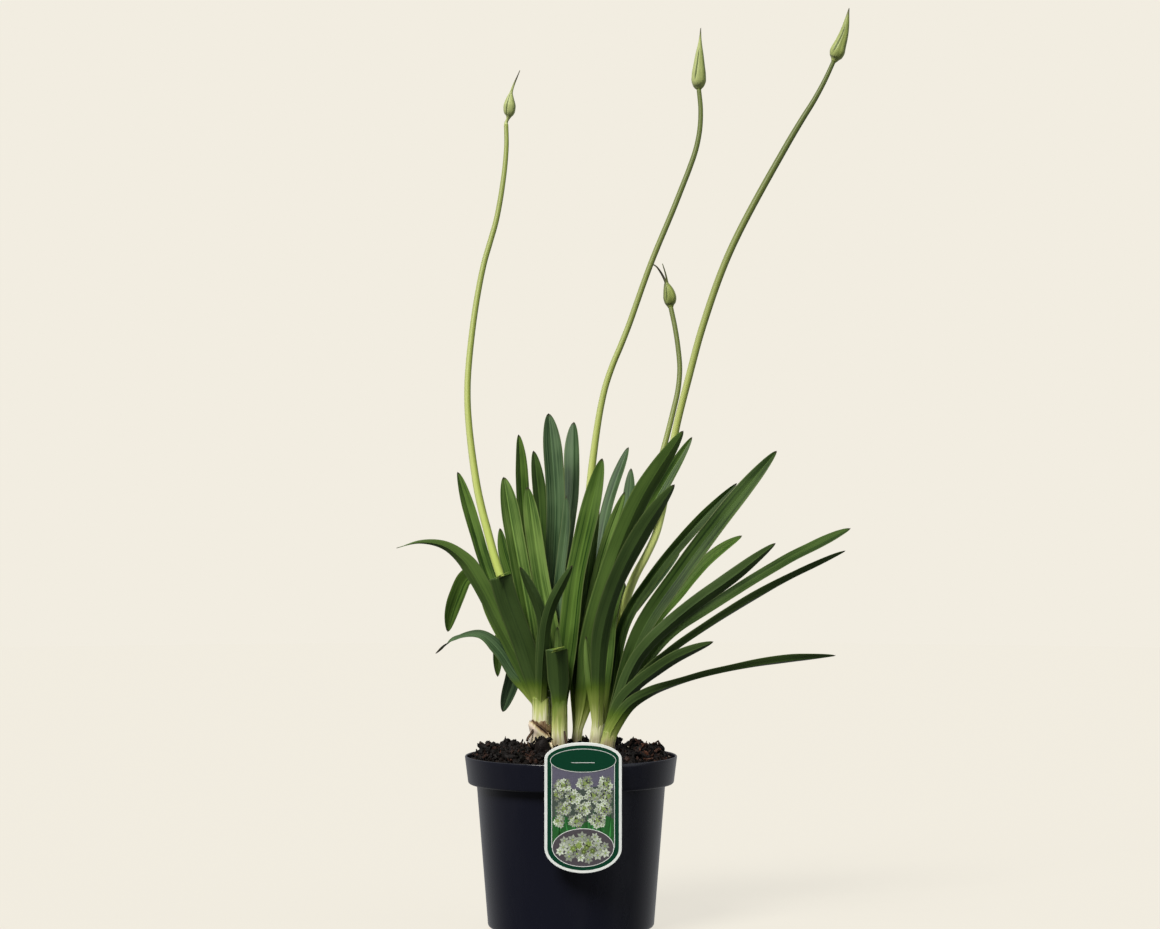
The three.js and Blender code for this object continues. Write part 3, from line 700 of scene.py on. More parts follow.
@dataclass(frozen=True)
class BudFinish(Finish):
    """A closed bud: green-yellow, with painted shade in its folds and furrow lengthwise and painted light
    down its lit side, brown and dry at its beak.

    It reads "strap" and "growth", where the first part of growth is 1 in a fold's groove, for the painted
    shade, and the second part is the painted light.
    """

    name: str = "bud_skin"
    shade: Color = (0.17, 0.215, 0.04)
    lit: Color = (0.29, 0.345, 0.085)
    # pale: painted light down the lit side.
    pale: Color = (0.53, 0.58, 0.25)
    # groove: painted shade in the furrow and the folds' troughs.
    groove: Color = (0.045, 0.07, 0.015)
    beak: Color = (0.085, 0.08, 0.05)

    def dress(self, tree: Tree) -> Material:
        """Lays its nodes in a tree."""
        strap = tree.vector("strap")
        groove, pale, dry = tree.split(tree.vector("growth"))
        ribs = tree.noise(tree.scaled(strap, (0.4, 0.4, 0.04)), 1.0, 2.0)
        skin_color = tree.mix(tree.step(ribs, 0.35, 0.65), self.shade, self.lit)
        skin_color = tree.mix(tree.step(pale, 0.1, 1.0, 0.0, 0.75), skin_color, self.pale)
        skin_color = tree.mix(tree.step(groove, 0.2, 0.9, 0.0, 0.85), skin_color, self.groove)
        skin_color = tree.mix(tree.step(dry, 0.0, 1.0), skin_color, self.beak)
        return tree.finish(skin_color, 0.45, 0.35, tree.bump(ribs, 0.3, 0.1))


@dataclass(frozen=True)
class PaperFinish(Finish):
    """A dry papery sheath, from brown in its grooves to a pinkish cream on its folds: its own browns and
    creams, with painted shade in the grooves and painted light on the folds and its left side.

    It reads "strap", and "tint", its place between the darkest (0) and the lightest (1).
    """

    name: str = "dry_paper"

    def dress(self, tree: Tree) -> Material:
        """Lays its nodes in a tree."""
        strap = tree.vector("strap")
        fibres = tree.noise(tree.scaled(strap, (0.8, 0.8, 0.09)), 1.0, 3.0)
        spread = tree.math("SUBTRACT", fibres, 0.5)
        place = tree.math("MULTIPLY_ADD", spread, 0.9, tree.number("tint"))
        stops = (
            (0.0, (0.028, 0.017, 0.012)),
            (0.3, (0.17, 0.10, 0.052)),
            (0.5, (0.38, 0.28, 0.155)),
            (0.75, (0.55, 0.49, 0.30)),
            (0.95, (0.66, 0.55, 0.44)),
        )
        return tree.finish(tree.ramp(place, stops), 0.75, 0.25, tree.bump(fibres, 0.6, 0.4))


@dataclass(frozen=True)
class PotFinish(Finish):
    """Moulded near-black plastic: semi-matt, finely grained, with faint dust and handling marks."""

    name: str = "pot_plastic"
    base: Color = (0.0060, 0.0067, 0.0136)
    dust: Color = (0.022, 0.021, 0.029)

    def dress(self, tree: Tree) -> Material:
        """Lays its nodes in a tree."""
        place = tree.place()
        grain = tree.noise(place, 1400.0, 2.0)
        smears = tree.noise(tree.scaled(place, (1.0, 1.0, 0.3)), 28.0, 4.0, 0.65)
        specks = tree.noise(place, 420.0, 2.0, 0.7)
        color = tree.mix(tree.step(smears, 0.45, 0.8, 0.0, 0.12), self.base, self.dust)
        color = tree.mix(tree.step(specks, 0.7, 0.8, 0.0, 0.4), color, self.dust)
        gloss = tree.step(smears, 0.3, 0.75, 0.22, 0.32)
        return tree.finish(color, gloss, 0.5, tree.bump(grain, 0.35, 0.04))


@dataclass(frozen=True)
class SoilFinish(Finish):
    """Moist compost: near-black and dark brown, rough, with glints of damp."""

    name: str = "compost"
    dark: Color = (0.0022, 0.0014, 0.0012)
    light: Color = (0.020, 0.012, 0.009)

    def dress(self, tree: Tree) -> Material:
        """Lays its nodes in a tree."""
        place = tree.place()
        crumbs = tree.noise(place, 420.0, 5.0, 0.7)
        patches = tree.noise(place, 70.0, 3.0)
        share = tree.math("MULTIPLY", tree.step(crumbs, 0.4, 0.72), tree.step(patches, 0.3, 0.7, 0.35, 1.0))
        color = tree.mix(share, self.dark, self.light)
        gloss = tree.step(patches, 0.35, 0.65, 0.55, 0.9)
        return tree.finish(color, gloss, 0.18, tree.bump(crumbs, 0.9, 1.2))


@dataclass(frozen=True)
class LitterFinish(Finish):
    """Loose bits on the soil. Each bit has its own "tint": 0 black peat, 0.5 red bark, 0.8 pale grit."""

    name: str = "litter"
    # Painted shade in the hollows of the bits' bump.
    hollow_shade: Color = (0.0015, 0.001, 0.0008)

    def dress(self, tree: Tree) -> Material:
        """Lays its nodes in a tree."""
        tint = tree.number("tint")
        crumbs = tree.noise(tree.place(), 600.0, 4.0, 0.7)
        stops = (
            (0.0, (0.0016, 0.0010, 0.0009)),
            (0.25, (0.008, 0.0046, 0.0036)),
            (0.38, (0.036, 0.015, 0.009)),
            (0.55, (0.16, 0.062, 0.034)),
            (0.8, (0.36, 0.31, 0.24)),
        )
        # Darker where the bump is low: painted shade in its hollows.
        hollow_shade = tree.step(crumbs, 0.35, 0.65, 0.55, 0.0)
        color = tree.mix(hollow_shade, tree.ramp(tint, stops), self.hollow_shade)
        return tree.finish(color, 0.62, 0.2, tree.bump(crumbs, 0.8, 0.7))


@dataclass(frozen=True)
class CardFinish(Finish):
    """Glossy printed plastic. The colour of each bit of print is kept at its points as "ink"."""

    name: str = "card_print"

    def dress(self, tree: Tree) -> Material:
        """Lays its nodes in a tree."""
        ink = tree.vector("ink")
        cloud = tree.noise(tree.place(), 900.0, 2.0)
        grain = tree.ramp(cloud, ((0.3, (0.1, 0.1, 0.1)), (0.7, (1.0, 1.0, 1.0))))
        color = tree.mix(0.12, ink, grain, "OVERLAY")
        return tree.finish(color, 0.3, 0.5, Coat_Weight=0.25, Coat_Roughness=0.15)


@dataclass(frozen=True)
class PlateFinish(Finish):
    """The card's own white plastic."""

    name: str = "card_white"
    shade: Color = (0.74, 0.77, 0.74)
    light: Color = (0.80, 0.82, 0.79)

    def dress(self, tree: Tree) -> Material:
        """Lays its nodes in a tree."""
        cloud = tree.noise(tree.place(), 60.0, 3.0)
        color = tree.mix(tree.step(cloud, 0.3, 0.7), self.shade, self.light)
        return tree.finish(color, 0.32, 0.5, tree.bump(cloud, 0.1, 0.1))


class Tone(Enum):
    """A leaf's green: copies of one green at different lightness. The darkest is partly the leaves' own
    deeper green and partly painted shade, for leaves that lie in shade inside and behind the clump.
    """

    # The darkest copy: partly the leaves' own deeper green, partly painted shade.
    DEEP_AND_SHADED = LeafFinish("leaf_deep_and_shaded", (0.011, 0.029, 0.004), (0.047, 0.088, 0.017))
    LEAF = LeafFinish("leaf_green", (0.014, 0.042, 0.004), (0.080, 0.146, 0.023))
    LIGHT = LeafFinish("leaf_light", (0.030, 0.074, 0.009), (0.140, 0.225, 0.048))
    GREY = LeafFinish("leaf_grey", (0.016, 0.042, 0.014), (0.074, 0.128, 0.055))


# ------------ pot


@dataclass
class Pot:
    """The moulded pot: a tapered body, a deep rim band and drainage notches in its lower edge."""

    sides: int = 288
    notches: int = 8
    first_notch: float = -13.0
    notch_width: float = 18.0
    notch_height: float = 7.0
    notch_reach: float = 5.0
    notch_corner: float = 2.5
    foot_ring: float = 1.2  # how far the middle of the underside is raised
    ring: tuple[float, float, float] = (0.78, 0.80, 0.82)  # radii of its slope, over the base's
    undercut: float = 0.9  # how far the rim band's underside stands over its foot
    fillet: float = 2.0  # radius of the band's lower corner
    crease: float = 38.0  # angle past which an edge is shown sharp, in degrees

    def arc(self, middle: Pair, radius: float, *angles: float, steps: int = 6) -> Array:
        """Points of an arc about a middle [r, z], between two angles in degrees."""
        angle = np.radians(np.linspace(*angles, steps))
        return middle + polar(angle, radius, radius)

    def profile(self) -> Array:
        """The wall's outline: the underside, the outer face up to the lip, and the inner face down."""
        rim_foot_z = POT.height - POT.rim_height
        lean = math.degrees(math.atan2(POT.rim_radius - POT.rim_foot, POT.rim_height))
        lip = POT.wall / 2
        start, slope, end = (POT.base_radius * share for share in self.ring)
        under = rim_foot_z + self.undercut
        outside = [
            np.array([[0.0, self.foot_ring], [start, self.foot_ring], [slope, 0.2], [end, 0.0]]),
            self.arc((POT.base_radius - POT.corner, POT.corner), POT.corner, -90, -6),
            np.linspace(
                [POT.base_radius + 0.2, POT.corner + 3], [POT.shoulder_radius - 0.3, rim_foot_z - 3], 24
            ),
            np.array([[POT.shoulder_radius, rim_foot_z + 0.4], [POT.shoulder_radius + 0.5, under]]),
            np.array([[POT.rim_foot - 2.6, under]]),
            self.arc((POT.rim_foot - self.fillet, rim_foot_z + 2.8), self.fillet, -80, -lean),
            np.linspace([POT.rim_foot + 0.25, rim_foot_z + 5], [POT.rim_radius - 0.25, POT.height - 3], 8),
            self.arc((POT.rim_radius - lip, POT.height - lip), lip, 0, 180, steps=9),
        ]
        inset = POT.wall
        waist = [POT.shoulder_radius - inset - 0.2, rim_foot_z - 2]
        inside = [
            np.array(POT.ledge(inset)),
            np.linspace(waist, [POT.base_radius - inset, POT.wall + 2], 8),
            np.array([[POT.base_radius - inset - 1.0, POT.wall + self.foot_ring]]),
            np.array([[0.0, POT.wall + self.foot_ring]]),
        ]
        return np.vstack(outside + inside)

    def cutter(self) -> Surface:
        """All the notches' arches as bars through the wall: a rectangle with rounded upper corners."""
        half, top, corner = self.notch_width / 2, self.notch_height, self.notch_corner
        right = self.arc((half - corner, top - corner), corner, 0, 90)
        left = self.arc((corner - half, top - corner), corner, 90, 180)
        arch = np.vstack([[[-half, -2.0], [half, -2.0]], right, left])
        bars = []
        for i in range(self.notches):
            turn = math.radians(self.first_notch + 360.0 / self.notches * i)
            ends = []
            for radius in (POT.base_radius + self.notch_reach, POT.base_radius - self.notch_reach):
                x = arch[:, 0] * math.cos(turn) + radius * math.sin(turn)
                y = arch[:, 0] * math.sin(turn) - radius * math.cos(turn)
                ends.append(np.column_stack([x, y, arch[:, 1]]))
            bars.append(skin(np.stack(ends)))
        return joined(bars)

    def build(self) -> None:
        """Turns the wall, cuts the notches through it and dresses it."""
        wall = revolved(self.profile(), self.sides)
        piece = make_piece("pot_shell", wall, PotFinish().material(), "pot_plastic", "pot", sharp=self.crease)
        tool = linked("notch_tool", mesh_of("notch_tool", self.cutter()))
        cut = piece.modifiers.new("notches", "BOOLEAN")
        cut.operation = "DIFFERENCE"
        cut.solver = "EXACT"
        cut.object = tool
        bpy.context.view_layer.update()
        evaluated = piece.evaluated_get(bpy.context.evaluated_depsgraph_get())
        cut_mesh = bpy.data.meshes.new_from_object(evaluated)
        piece.modifiers.clear()
        meshes = [piece.data, tool.data]
        piece.data = cut_mesh
        shade_smooth(cut_mesh, self.crease)
        bpy.data.objects.remove(tool)
        for mesh in meshes:
            bpy.data.meshes.remove(mesh)


# ------------ soil and what lies on it


Clod = tuple[float, float, float, float]


@dataclass
class Soil:
    """The compost: a rough bed that fills the pot, under clods, crumbs, bark, fibres and grit."""

    rings: int = 96
    sides: int = 320
    crumbs: int = 3600
    chips: int = 190
    splinters: int = 110
    bark: int = 70
    grit: int = 40
    seed: int = 11
    reach: float = 80.0  # radius that the loose bits lie within
    crease: float = 20.0  # angle past which a bit's edge is shown sharp, in degrees
    sunk: float = 0.15  # how far a clod's middle stands above the soil, over its height
    depth: float = 0.85  # a clod's radius from front to back, over the one from side to side
    settle: float = 1.4  # how far the grainy top lies below the soil's height, under its crumbs
    grains: Drawn = ((1.7, 6.0), (1.3, 2.9), (0.6, 1.3))  # height and cell of each
    dents: Pair = (2.2, 0.14)  # a bit's dents: how close its waves are, and how deep
    clods: tuple[Clod, ...] = (  # [x, y, radius, height over radius], as the soil's own solid has them
        (-22.6, -27, 8, 1.35), (-44, -12, 6, 0.6), (-58, -22, 7, 0.5), (-66, 12, 8, 0.55), (-50, 34, 8, 0.6),
        (-24, 58, 8.5, 0.5), (8, 48, 7, 0.6), (34, 56, 8, 0.5), (52, 28, 8.5, 0.55), (69, 6, 7, 0.6),
        (58, -20, 8, 0.6), (49, -38, 6.5, 0.5), (30, -52, 7.5, 0.5), (2, -44, 7, 0.6), (-18, -64, 7, 0.5),
        (-46, -50, 8, 0.5), (-4, 22, 5.5, 0.6), (50, 6, 6, 0.9),
    )

    def body(self) -> Surface:
        """The filling: its side follows the pot, and its top is the soil's height with three grains."""
        inset = POT.wall + GAP
        edge = POT.rim_radius - POT.wall - SOIL.inset
        foot = POT.wall + 2.0
        base = POT.base_radius - inset
        under = [[0.0, foot], [base - 2.0, foot], [base, foot + 2.0]]
        side = np.array([*under, *POT.ledge(inset)[::-1], [edge - 0.6, SOIL.edge - 6.0]])
        radius = np.linspace(edge, 0.6, self.rings)
        top = np.column_stack([radius, np.full(self.rings, SOIL.edge)])
        profile = np.vstack([side, top, [[0.0, SOIL.edge]]])
        angle = around(self.sides)
        x = radius[:, None] * np.cos(angle)
        y = radius[:, None] * np.sin(angle)
        grains = sum(high * bumps(x, y, cell, 3 + i) for i, (high, cell) in enumerate(self.grains))
        wave = np.zeros((len(profile) - 2, self.sides))
        wave[len(side) - 1 :] = soil_height(x, y) + grains - SOIL.edge - self.settle
        return revolved(profile, self.sides, wave)

    def ball(self, rows: int, sides: int) -> Surface:
        """A coarse unit ball: circles of latitude between two poles."""
        up = np.pi * np.arange(rows + 2) / (rows + 1)
        return revolved(np.column_stack([np.sin(up), -np.cos(up)]), sides)

    def bits(
        self, base: Surface, places: Array, sizes: Array, tints: Array, seed: int, tumble: float = 1.0
    ) -> Surface:
        """Loose bits: copies of a ball, each stretched, dented by sine waves and turned at random.

        A turn is the rotation nearest to a blend of no turn and a random one.

        Args:
            base: The ball.
            places: The bits' middles.
            sizes: Their half sizes along three axes.
            tints: A tint for each.
            seed: Seed of their turns and dents.
            tumble: How far they are turned, from 0 for not at all to 1 for any way.

        Returns:
            One surface with all the bits, and "tint" kept at its points.
        """
        draw = np.random.default_rng(seed)
        count = len(places)
        waves = draw.normal(size=(count, 3, 3)) * self.dents[0]
        phase = draw.uniform(0.0, 6.3, (count, 3, 1))
        dents = np.sin(waves @ base.points.T + phase).sum(axis=1) * self.dents[1]
        shape = base.points[None] * (1.0 + dents[..., None]) * sizes[:, None, :]
        turn = np.linalg.qr(draw.normal(size=(count, 3, 3)))[0]
        turn *= np.sign(np.linalg.det(turn))[:, None, None]
        left, _, right = np.linalg.svd(mix(np.eye(3), turn, tumble))
        turn = left @ right
        points = np.einsum("nij,nkj->nki", turn, shape) + places[:, None, :]
        steps = (np.arange(count) * len(base.points))[:, None, None]
        quads = (base.quads[None] + steps).reshape(-1, 4)
        triangles = (base.triangles[None] + steps).reshape(-1, 3)
        return Surface(points.reshape(-1, 3), quads, triangles, {"tint": np.repeat(tints, len(base.points))})

    def ground(self, x: Array, y: Array) -> Array:
        """Height of the soil or of the clod on it: each clod's top is half an ellipsoid."""
        height = soil_height(x, y)
        for clod_x, clod_y, radius, tall in self.clods:
            inside = 1.0 - ((x - clod_x) / radius) ** 2 - ((y - clod_y) / (self.depth * radius)) ** 2
            foot = soil_height(np.array(clod_x), np.array(clod_y)) + self.sunk * tall * radius
            dome = foot + tall * radius * np.sqrt(np.abs(inside))
            height = np.maximum(height, np.where(inside > 0.0, dome, 0.0))
        return height

    def scatter(self, draw: np.random.Generator, count: int, beyond: float = 0.0) -> tuple[Array, Array]:
        """Seeded places spread evenly over the soil: the radius is the square root of a fair draw."""
        radius = (self.reach + beyond) * np.sqrt(draw.uniform(0.0, 1.0, count))
        angle = draw.uniform(0.0, 2.0 * np.pi, count)
        return radius * np.cos(angle), radius * np.sin(angle)

    def build(self) -> None:
        """Builds the bed and everything loose on it, from the largest bits to the smallest."""
        make_piece("compost", self.body(), SoilFinish().material(), "soil", "soil")
        litter = LitterFinish().material()
        draw = np.random.default_rng(self.seed)
        coarse, fine = self.ball(3, 5), self.ball(13, 20)

        def lay(name: str, places: tuple[Array, Array, Array], *looks: Array | float) -> None:
            """Makes a piece of coarse bits; looks are their sizes, tints, seed and tumble."""
            bits = self.bits(coarse, np.column_stack(places), *looks)
            make_piece(name, bits, litter, "soil", sharp=self.crease)

        clods = np.array(self.clods)
        tall = clods[:, 2] * clods[:, 3]
        height = soil_height(clods[:, 0], clods[:, 1]) + self.sunk * tall
        places = np.column_stack([clods[:, 0], clods[:, 1], height])
        sizes = np.column_stack([clods[:, 2], self.depth * clods[:, 2], tall])
        tints = np.where(np.arange(len(clods)) == 0, 0.24, 0.12)
        make_piece("clods", self.bits(fine, places, 0.94 * sizes, tints, 24, 0.0), litter, "soil")

        x, y = self.scatter(draw, self.crumbs, 1.2)
        size = np.minimum(draw.gamma(2.0, 0.42, (self.crumbs, 1)) + 0.45, 2.8)
        sizes = size * draw.uniform(0.45, 1.25, (self.crumbs, 3))
        height = self.ground(x, y) + draw.uniform(-0.6, 0.9, self.crumbs)
        tints = 0.4 * draw.uniform(0.0, 1.0, self.crumbs) ** 2.0
        lay("peat_crumbs", (x, y, height), sizes, tints, 21)

        x, y = self.scatter(draw, self.chips, -1.0)
        long = draw.uniform(2.0, 4.6, self.chips)
        flat = draw.uniform(0.35, 0.8, self.chips)
        sizes = np.column_stack([long, long * draw.uniform(0.25, 0.55, self.chips), flat])
        tints = draw.uniform(0.12, 0.46, self.chips)
        lay("bark_chips", (x, y, self.ground(x, y) + 0.8), sizes, tints, 22)

        x, y = self.scatter(draw, self.splinters)
        thick = draw.uniform(0.4, 1.2, (2, self.splinters))
        sizes = np.column_stack([*thick, draw.uniform(1.8, 4.4, self.splinters)])
        tints = draw.uniform(0.0, 0.42, self.splinters)
        lay("splinters", (x, y, self.ground(x, y) + 1.8), sizes, tints, 25, 0.42)

        x, y = draw.uniform(50.0, 72.0, self.bark), draw.uniform(-34.0, 30.0, self.bark)
        long = draw.uniform(1.4, 3.6, self.bark)
        sizes = np.column_stack([long, 0.5 * long, draw.uniform(0.4, 0.9, self.bark)])
        tints = draw.uniform(0.36, 0.6, self.bark)
        lay("red_bark", (x, y, self.ground(x, y) + 1.3), sizes, tints, 26)

        x, y = self.scatter(draw, self.grit)
        sizes = draw.uniform(0.35, 0.8, (self.grit, 3))
        lay("pale_grit", (x, y, soil_height(x, y) + 1.3), sizes, np.full(self.grit, 0.8), 23)


# ------------ care card


@dataclass
class CareCard:
    """The plain care card, hooked over the rim: a white plate with a green and floral print."""

    x: float = 9.6
    front: float = -86.2
    thickness: float = 0.8
    width: float = 60.0
    arch_foot: float = 142.0
    arch_rise: float = 12.9
    toe_top: float = 73.2
    toe_drop: float = 19.7
    hook_width: float = 14.0
    tongue_back: float = -78.6
    tongue_foot: float = 121.0
    border: float = 2.3
    panel_half: float = 24.3
    panel_top: float = 141.0
    header: tuple[float, float, float] = (140.8, 25.6, 9.2)  # middle height and two half axes
    inset: tuple[float, float, float] = (73.4, 24.0, 14.9)
    line: float = 0.45
    ply: float = 0.05  # how far each layer of print stands out
    rule: Pair = (9.0, 0.28)  # half length and half height of the header's plain line
    florets: int = 15  # in a printed head
    white: Color = (0.78, 0.81, 0.78)
    green: Color = (0.0, 0.042, 0.018)
    mauve: Color = (0.115, 0.11, 0.155)
    slate: Color = (0.06, 0.08, 0.065)
    bark: Color = (0.075, 0.065, 0.075)
    leaf: Color = (0.02, 0.11, 0.025)
    bud: Color = (0.26, 0.36, 0.09)  # the greenish flowers in the middle of a head
    petal: Color = (0.56, 0.62, 0.50)
    eye: Color = (0.30, 0.42, 0.10)

    def outline(self, inset: float, steps: int = 64) -> Array:
        """The card's outline, moved inwards: half an ellipse above and below two straight sides."""
        half = self.width / 2 - inset
        turn = np.linspace(0.0, np.pi, steps)
        top = [0.0, self.arch_foot] + polar(turn, half, self.arch_rise - inset)
        toe = [0.0, self.toe_top] - polar(turn, half, self.toe_drop - inset)
        return np.vstack([top, toe])

    def ellipse(self, size: tuple[float, float, float], inset: float = 0.0, steps: int = 96) -> Array:
        """An ellipse about [0, middle height], moved inwards."""
        return [0.0, size[0]] + polar(around(steps), size[1] - inset, size[2] - inset)

    def rings(self, rows: list[tuple[Array, float]]) -> Array:
        """Outlines [x, z] about the card's middle, each put at its depth."""
        return np.stack([columns(outline[:, 0] + self.x, y, outline[:, 1]) for outline, y in rows])

    def plate(self, outline: Array, face: float, back: float, bevel: float = 0.0) -> Surface:
        """A flat plate with an outline [x, z], from its back to its face, with a bevelled edge."""
        middle = outline.mean(axis=0)
        reach = np.linalg.norm(outline - middle, axis=1, keepdims=True)
        small = middle + (outline - middle) * (1.0 - bevel / reach)
        rows = [(small, back), (outline, back - bevel), (outline, face + bevel), (small, face)]
        rings = self.rings(rows)
        return skin(rings if bevel else rings[1:3])

    def band(self, outer: Array, inner: Array, face: float, back: float) -> Surface:
        """A flat ring between two outlines with the same number of points."""
        rows = [(inner, back), (outer, back), (outer, face), (inner, face)]
        grid = np.arange(4 * len(outer)).reshape(4, -1)
        down = np.roll(grid, -1, axis=0)
        quads = np.stack([grid, np.roll(grid, -1, 1), np.roll(down, -1, 1), down], axis=-1).reshape(-1, 4)
        return Surface(self.rings(rows).reshape(-1, 3), quads)

    def inked(self, surface: Surface, color: Color) -> Surface:
        """The same surface in one colour of ink."""
        surface.values["ink"] = np.tile(np.array(color), (len(surface.points), 1))
        return surface

    def patch(self, outline: Array, face: float, back: float, color: Color) -> Surface:
        """A plate in one colour of ink."""
        return self.inked(self.plate(outline, face, back), color)

    def ring(self, size: tuple[float, float, float], face: float, back: float, color: Color) -> Surface:
        """A thin line round an ellipse."""
        band = self.band(self.ellipse(size), self.ellipse(size, self.line), face, back)
        return self.inked(band, color)

    def bank(self, across: Array, low: float, top: Array) -> Array:
        """An outline with a level foot and a wavy top."""
        foot = np.column_stack([across, np.full(len(across), low)])
        return np.vstack([foot, np.column_stack([across, top])[::-1]])

    def blooms(
        self, middles: Array, radii: Array, turns: Array, shades: Array, face: float, color: Color
    ) -> Surface:
        """Six-petalled printed flowers: each petal is a pointed ellipse, and the eye a small disc.

        Args:
            middles: The flowers' middles, [x, z].
            radii: Their radii.
            turns: Their turns, in radians.
            shades: How light each is, from 0 to 1.
            face: The depth of their front.
            color: The petals' colour.

        Returns:
            Flat double-pointed petals and eyes, with "ink" kept at the points.
        """
        petals, eye_sides = 6, 6
        along = np.array([0.12, 0.55, 1.0, 0.55])
        aside = np.array([0.0, -0.3, 0.0, 0.3])
        angle = turns[:, None] + np.arange(petals) * (2.0 * np.pi / petals)
        cos, sin = np.cos(angle)[..., None], np.sin(angle)[..., None]
        x = middles[:, 0, None, None] + radii[:, None, None] * (along * cos - aside * sin)
        z = middles[:, 1, None, None] + radii[:, None, None] * (along * sin + aside * cos)
        count = len(middles) * petals
        depth = face - 0.012 * np.repeat(np.arange(len(middles)) % 3, petals)
        y = np.broadcast_to(depth[:, None], (count, 4))
        flat = np.stack([x.reshape(count, 4), y, z.reshape(count, 4)], -1)
        front, rear = flat.copy(), flat.copy()
        rear[..., 1] += self.ply
        front[..., 0] += self.x
        rear[..., 0] += self.x
        points = np.concatenate([front, rear], axis=1).reshape(-1, 3)
        base = np.arange(count)[:, None] * 8
        sides = [base + np.array([i, (i + 1) % 4, (i + 1) % 4 + 4, i + 4]) for i in range(4)]
        ends = [base + np.array([0, 1, 2, 3]), base + np.array([7, 6, 5, 4])]
        quads = np.vstack(ends + [s[:, ::-1] for s in sides])
        ink = mix(np.array(color) * 0.25, np.array(color) * 1.2, shades[:, None])
        ink = np.repeat(ink, petals * 8, axis=0)
        rim = np.tile(np.array([1.0, 0.92, 1.05, 0.92] * 2), count)
        leaves = Surface(points, quads, values={"ink": ink * rim[:, None]})
        disc = polar(around(eye_sides), 0.2, 0.2)
        pairs = zip(middles, radii)
        eyes = [self.patch(middle + radius * disc, face - 0.05, face, self.eye) for middle, radius in pairs]
        return joined([leaves, *eyes])

    def spiral(self, count: int, reach: Pair, start: float = 0.0) -> Array:
        """Florets on a spiral: the radius grows as the square root of the number, by equal turns."""
        spread = np.sqrt((np.arange(count) + 0.5) / count)
        turn = GOLDEN * np.arange(count) + start
        return polar(turn, reach[0] * spread, reach[1] * spread)

    def picture(self, face: float) -> list[Surface]:
        """The generic print: loose round flower heads in slanting rows over strap leaves."""
        draw = np.random.default_rng(5)
        half = self.panel_half - self.line
        low = self.inset[0]
        ply = self.ply
        ground = np.array([[-half, low], [half, low], [half, self.panel_top], [-half, self.panel_top]])
        across = np.linspace(-half, half, 24)
        shore = self.bank(across, low, low + 46.0 + 1.2 * np.sin(np.linspace(0.0, 11.0, 24)))
        ridge = self.bank(across, low, low + 22.0 + 3.0 * np.sin(np.linspace(9.0, 0.0, 24)))
        layers = [
            self.patch(ground, face, face + ply, self.mauve),
            self.patch(shore, face - 0.5 * ply, face, self.slate),
            self.patch(ridge, face - ply, face, self.leaf),
        ]
        for start in draw.uniform(-half + 3, half - 3, 26):
            lean, tall, wide = draw.normal(0.0, 3.0), draw.uniform(9.0, 30.0), draw.uniform(0.5, 0.9)
            tip = np.clip(start + lean, -half + 0.5, half - 0.5)
            foot = low + draw.uniform(2.0, 12.0)
            blade = np.array([[start - wide, foot], [start + wide, foot], [tip, foot + tall]])
            color = lighter(self.leaf, draw.uniform(0.5, 2.4))
            layers.append(self.patch(blade, face - 2 * ply, face - ply, color))
        rows = (
            (123.0, (-15.5, 1.5, 18.0)),
            (113.5, (-21.0, -7.5, 8.5, 20.0)),
            (103.5, (-15.0, 1.0, 15.5)),
            (94.0, (-20.0, -5.0, 11.0)),
        )
        heads = np.array([(x, z + draw.uniform(-1.2, 1.2)) for z, across in rows for x in across])
        middles, radii = [], []
        for head in heads:
            reach = draw.uniform(5.4, 7.0)
            middles.append(head + self.spiral(self.florets, (reach, 0.8 * reach), draw.uniform(0.0, 6.3)))
            radii.append(draw.uniform(2.0, 3.0, self.florets))
        places = np.vstack(middles)
        sizes = np.concatenate(radii)
        inside = np.abs(places[:, 0]) < half - sizes
        places, sizes = places[inside], sizes[inside]
        turns = draw.uniform(0.0, 6.3, len(places))
        shades = draw.uniform(0.0, 1.0, len(places))
        layers.append(self.blooms(places, sizes, turns, shades, face - 3 * ply, self.petal))
        hearts = heads[np.abs(heads[:, 0]) < half - 2.5]
        small = np.full(len(hearts), 1.9)
        layers.append(self.blooms(hearts, small, turns[: len(hearts)], small / 3.0, face - 4 * ply, self.bud))
        return layers

    def vignette(self, face: float) -> list[Surface]:
        """The oval at the card's foot: larger flowers about a green heart, on a dark ground."""
        draw = np.random.default_rng(8)
        oval = self.ellipse(self.inset, self.line)
        count, green = 27, 6
        sizes = draw.uniform(3.4, 4.6, count)
        reach = np.array(self.inset[1:]) - self.line - 4.3
        places = [0.0, self.inset[0]] + self.spiral(count, reach)
        turns = draw.uniform(0.0, 6.3, count)
        shades = draw.uniform(0.1, 1.0, count)
        heart = (places[:green], 0.7 * sizes[:green], turns[:green], shades[:green])
        return [
            self.patch(oval, face, face + self.ply, self.bark),
            self.blooms(places, sizes, turns, shades, face - self.ply, self.petal),
            self.blooms(*heart, face - 2 * self.ply, self.bud),
        ]

    def printed(self) -> Surface:
        """All the layers of print, from the green field up to the fine lines."""
        face = self.front - self.ply
        top = face - 6 * self.ply
        layers = [self.patch(self.outline(self.border), face, self.front, self.green)]
        for side in (-1.0, 1.0):
            near, far = side * self.panel_half - self.line / 2, side * self.panel_half + self.line / 2
            foot, head = self.inset[0], self.panel_top
            bar = np.array([[near, foot], [far, foot], [far, head], [near, head]])
            layers.append(self.patch(bar, face - 4 * self.ply, face, self.white))
        layers += self.picture(face - self.ply)
        layers.append(self.patch(self.ellipse(self.header, self.line), top, face, self.green))
        layers.append(self.ring(self.header, top - self.ply, face, lighter(self.white, 0.8)))
        layers += self.vignette(top)
        layers.append(self.ring(self.inset, top - self.ply, face, self.white))
        half, tall = self.rule
        rule = np.array([[-half, -tall], [half, -tall], [half, tall], [-half, tall]])
        rule[:, 1] += self.header[0] - 1.6
        layers.append(self.patch(rule, top - self.ply, top, lighter(self.white, 0.7)))
        return joined(layers)

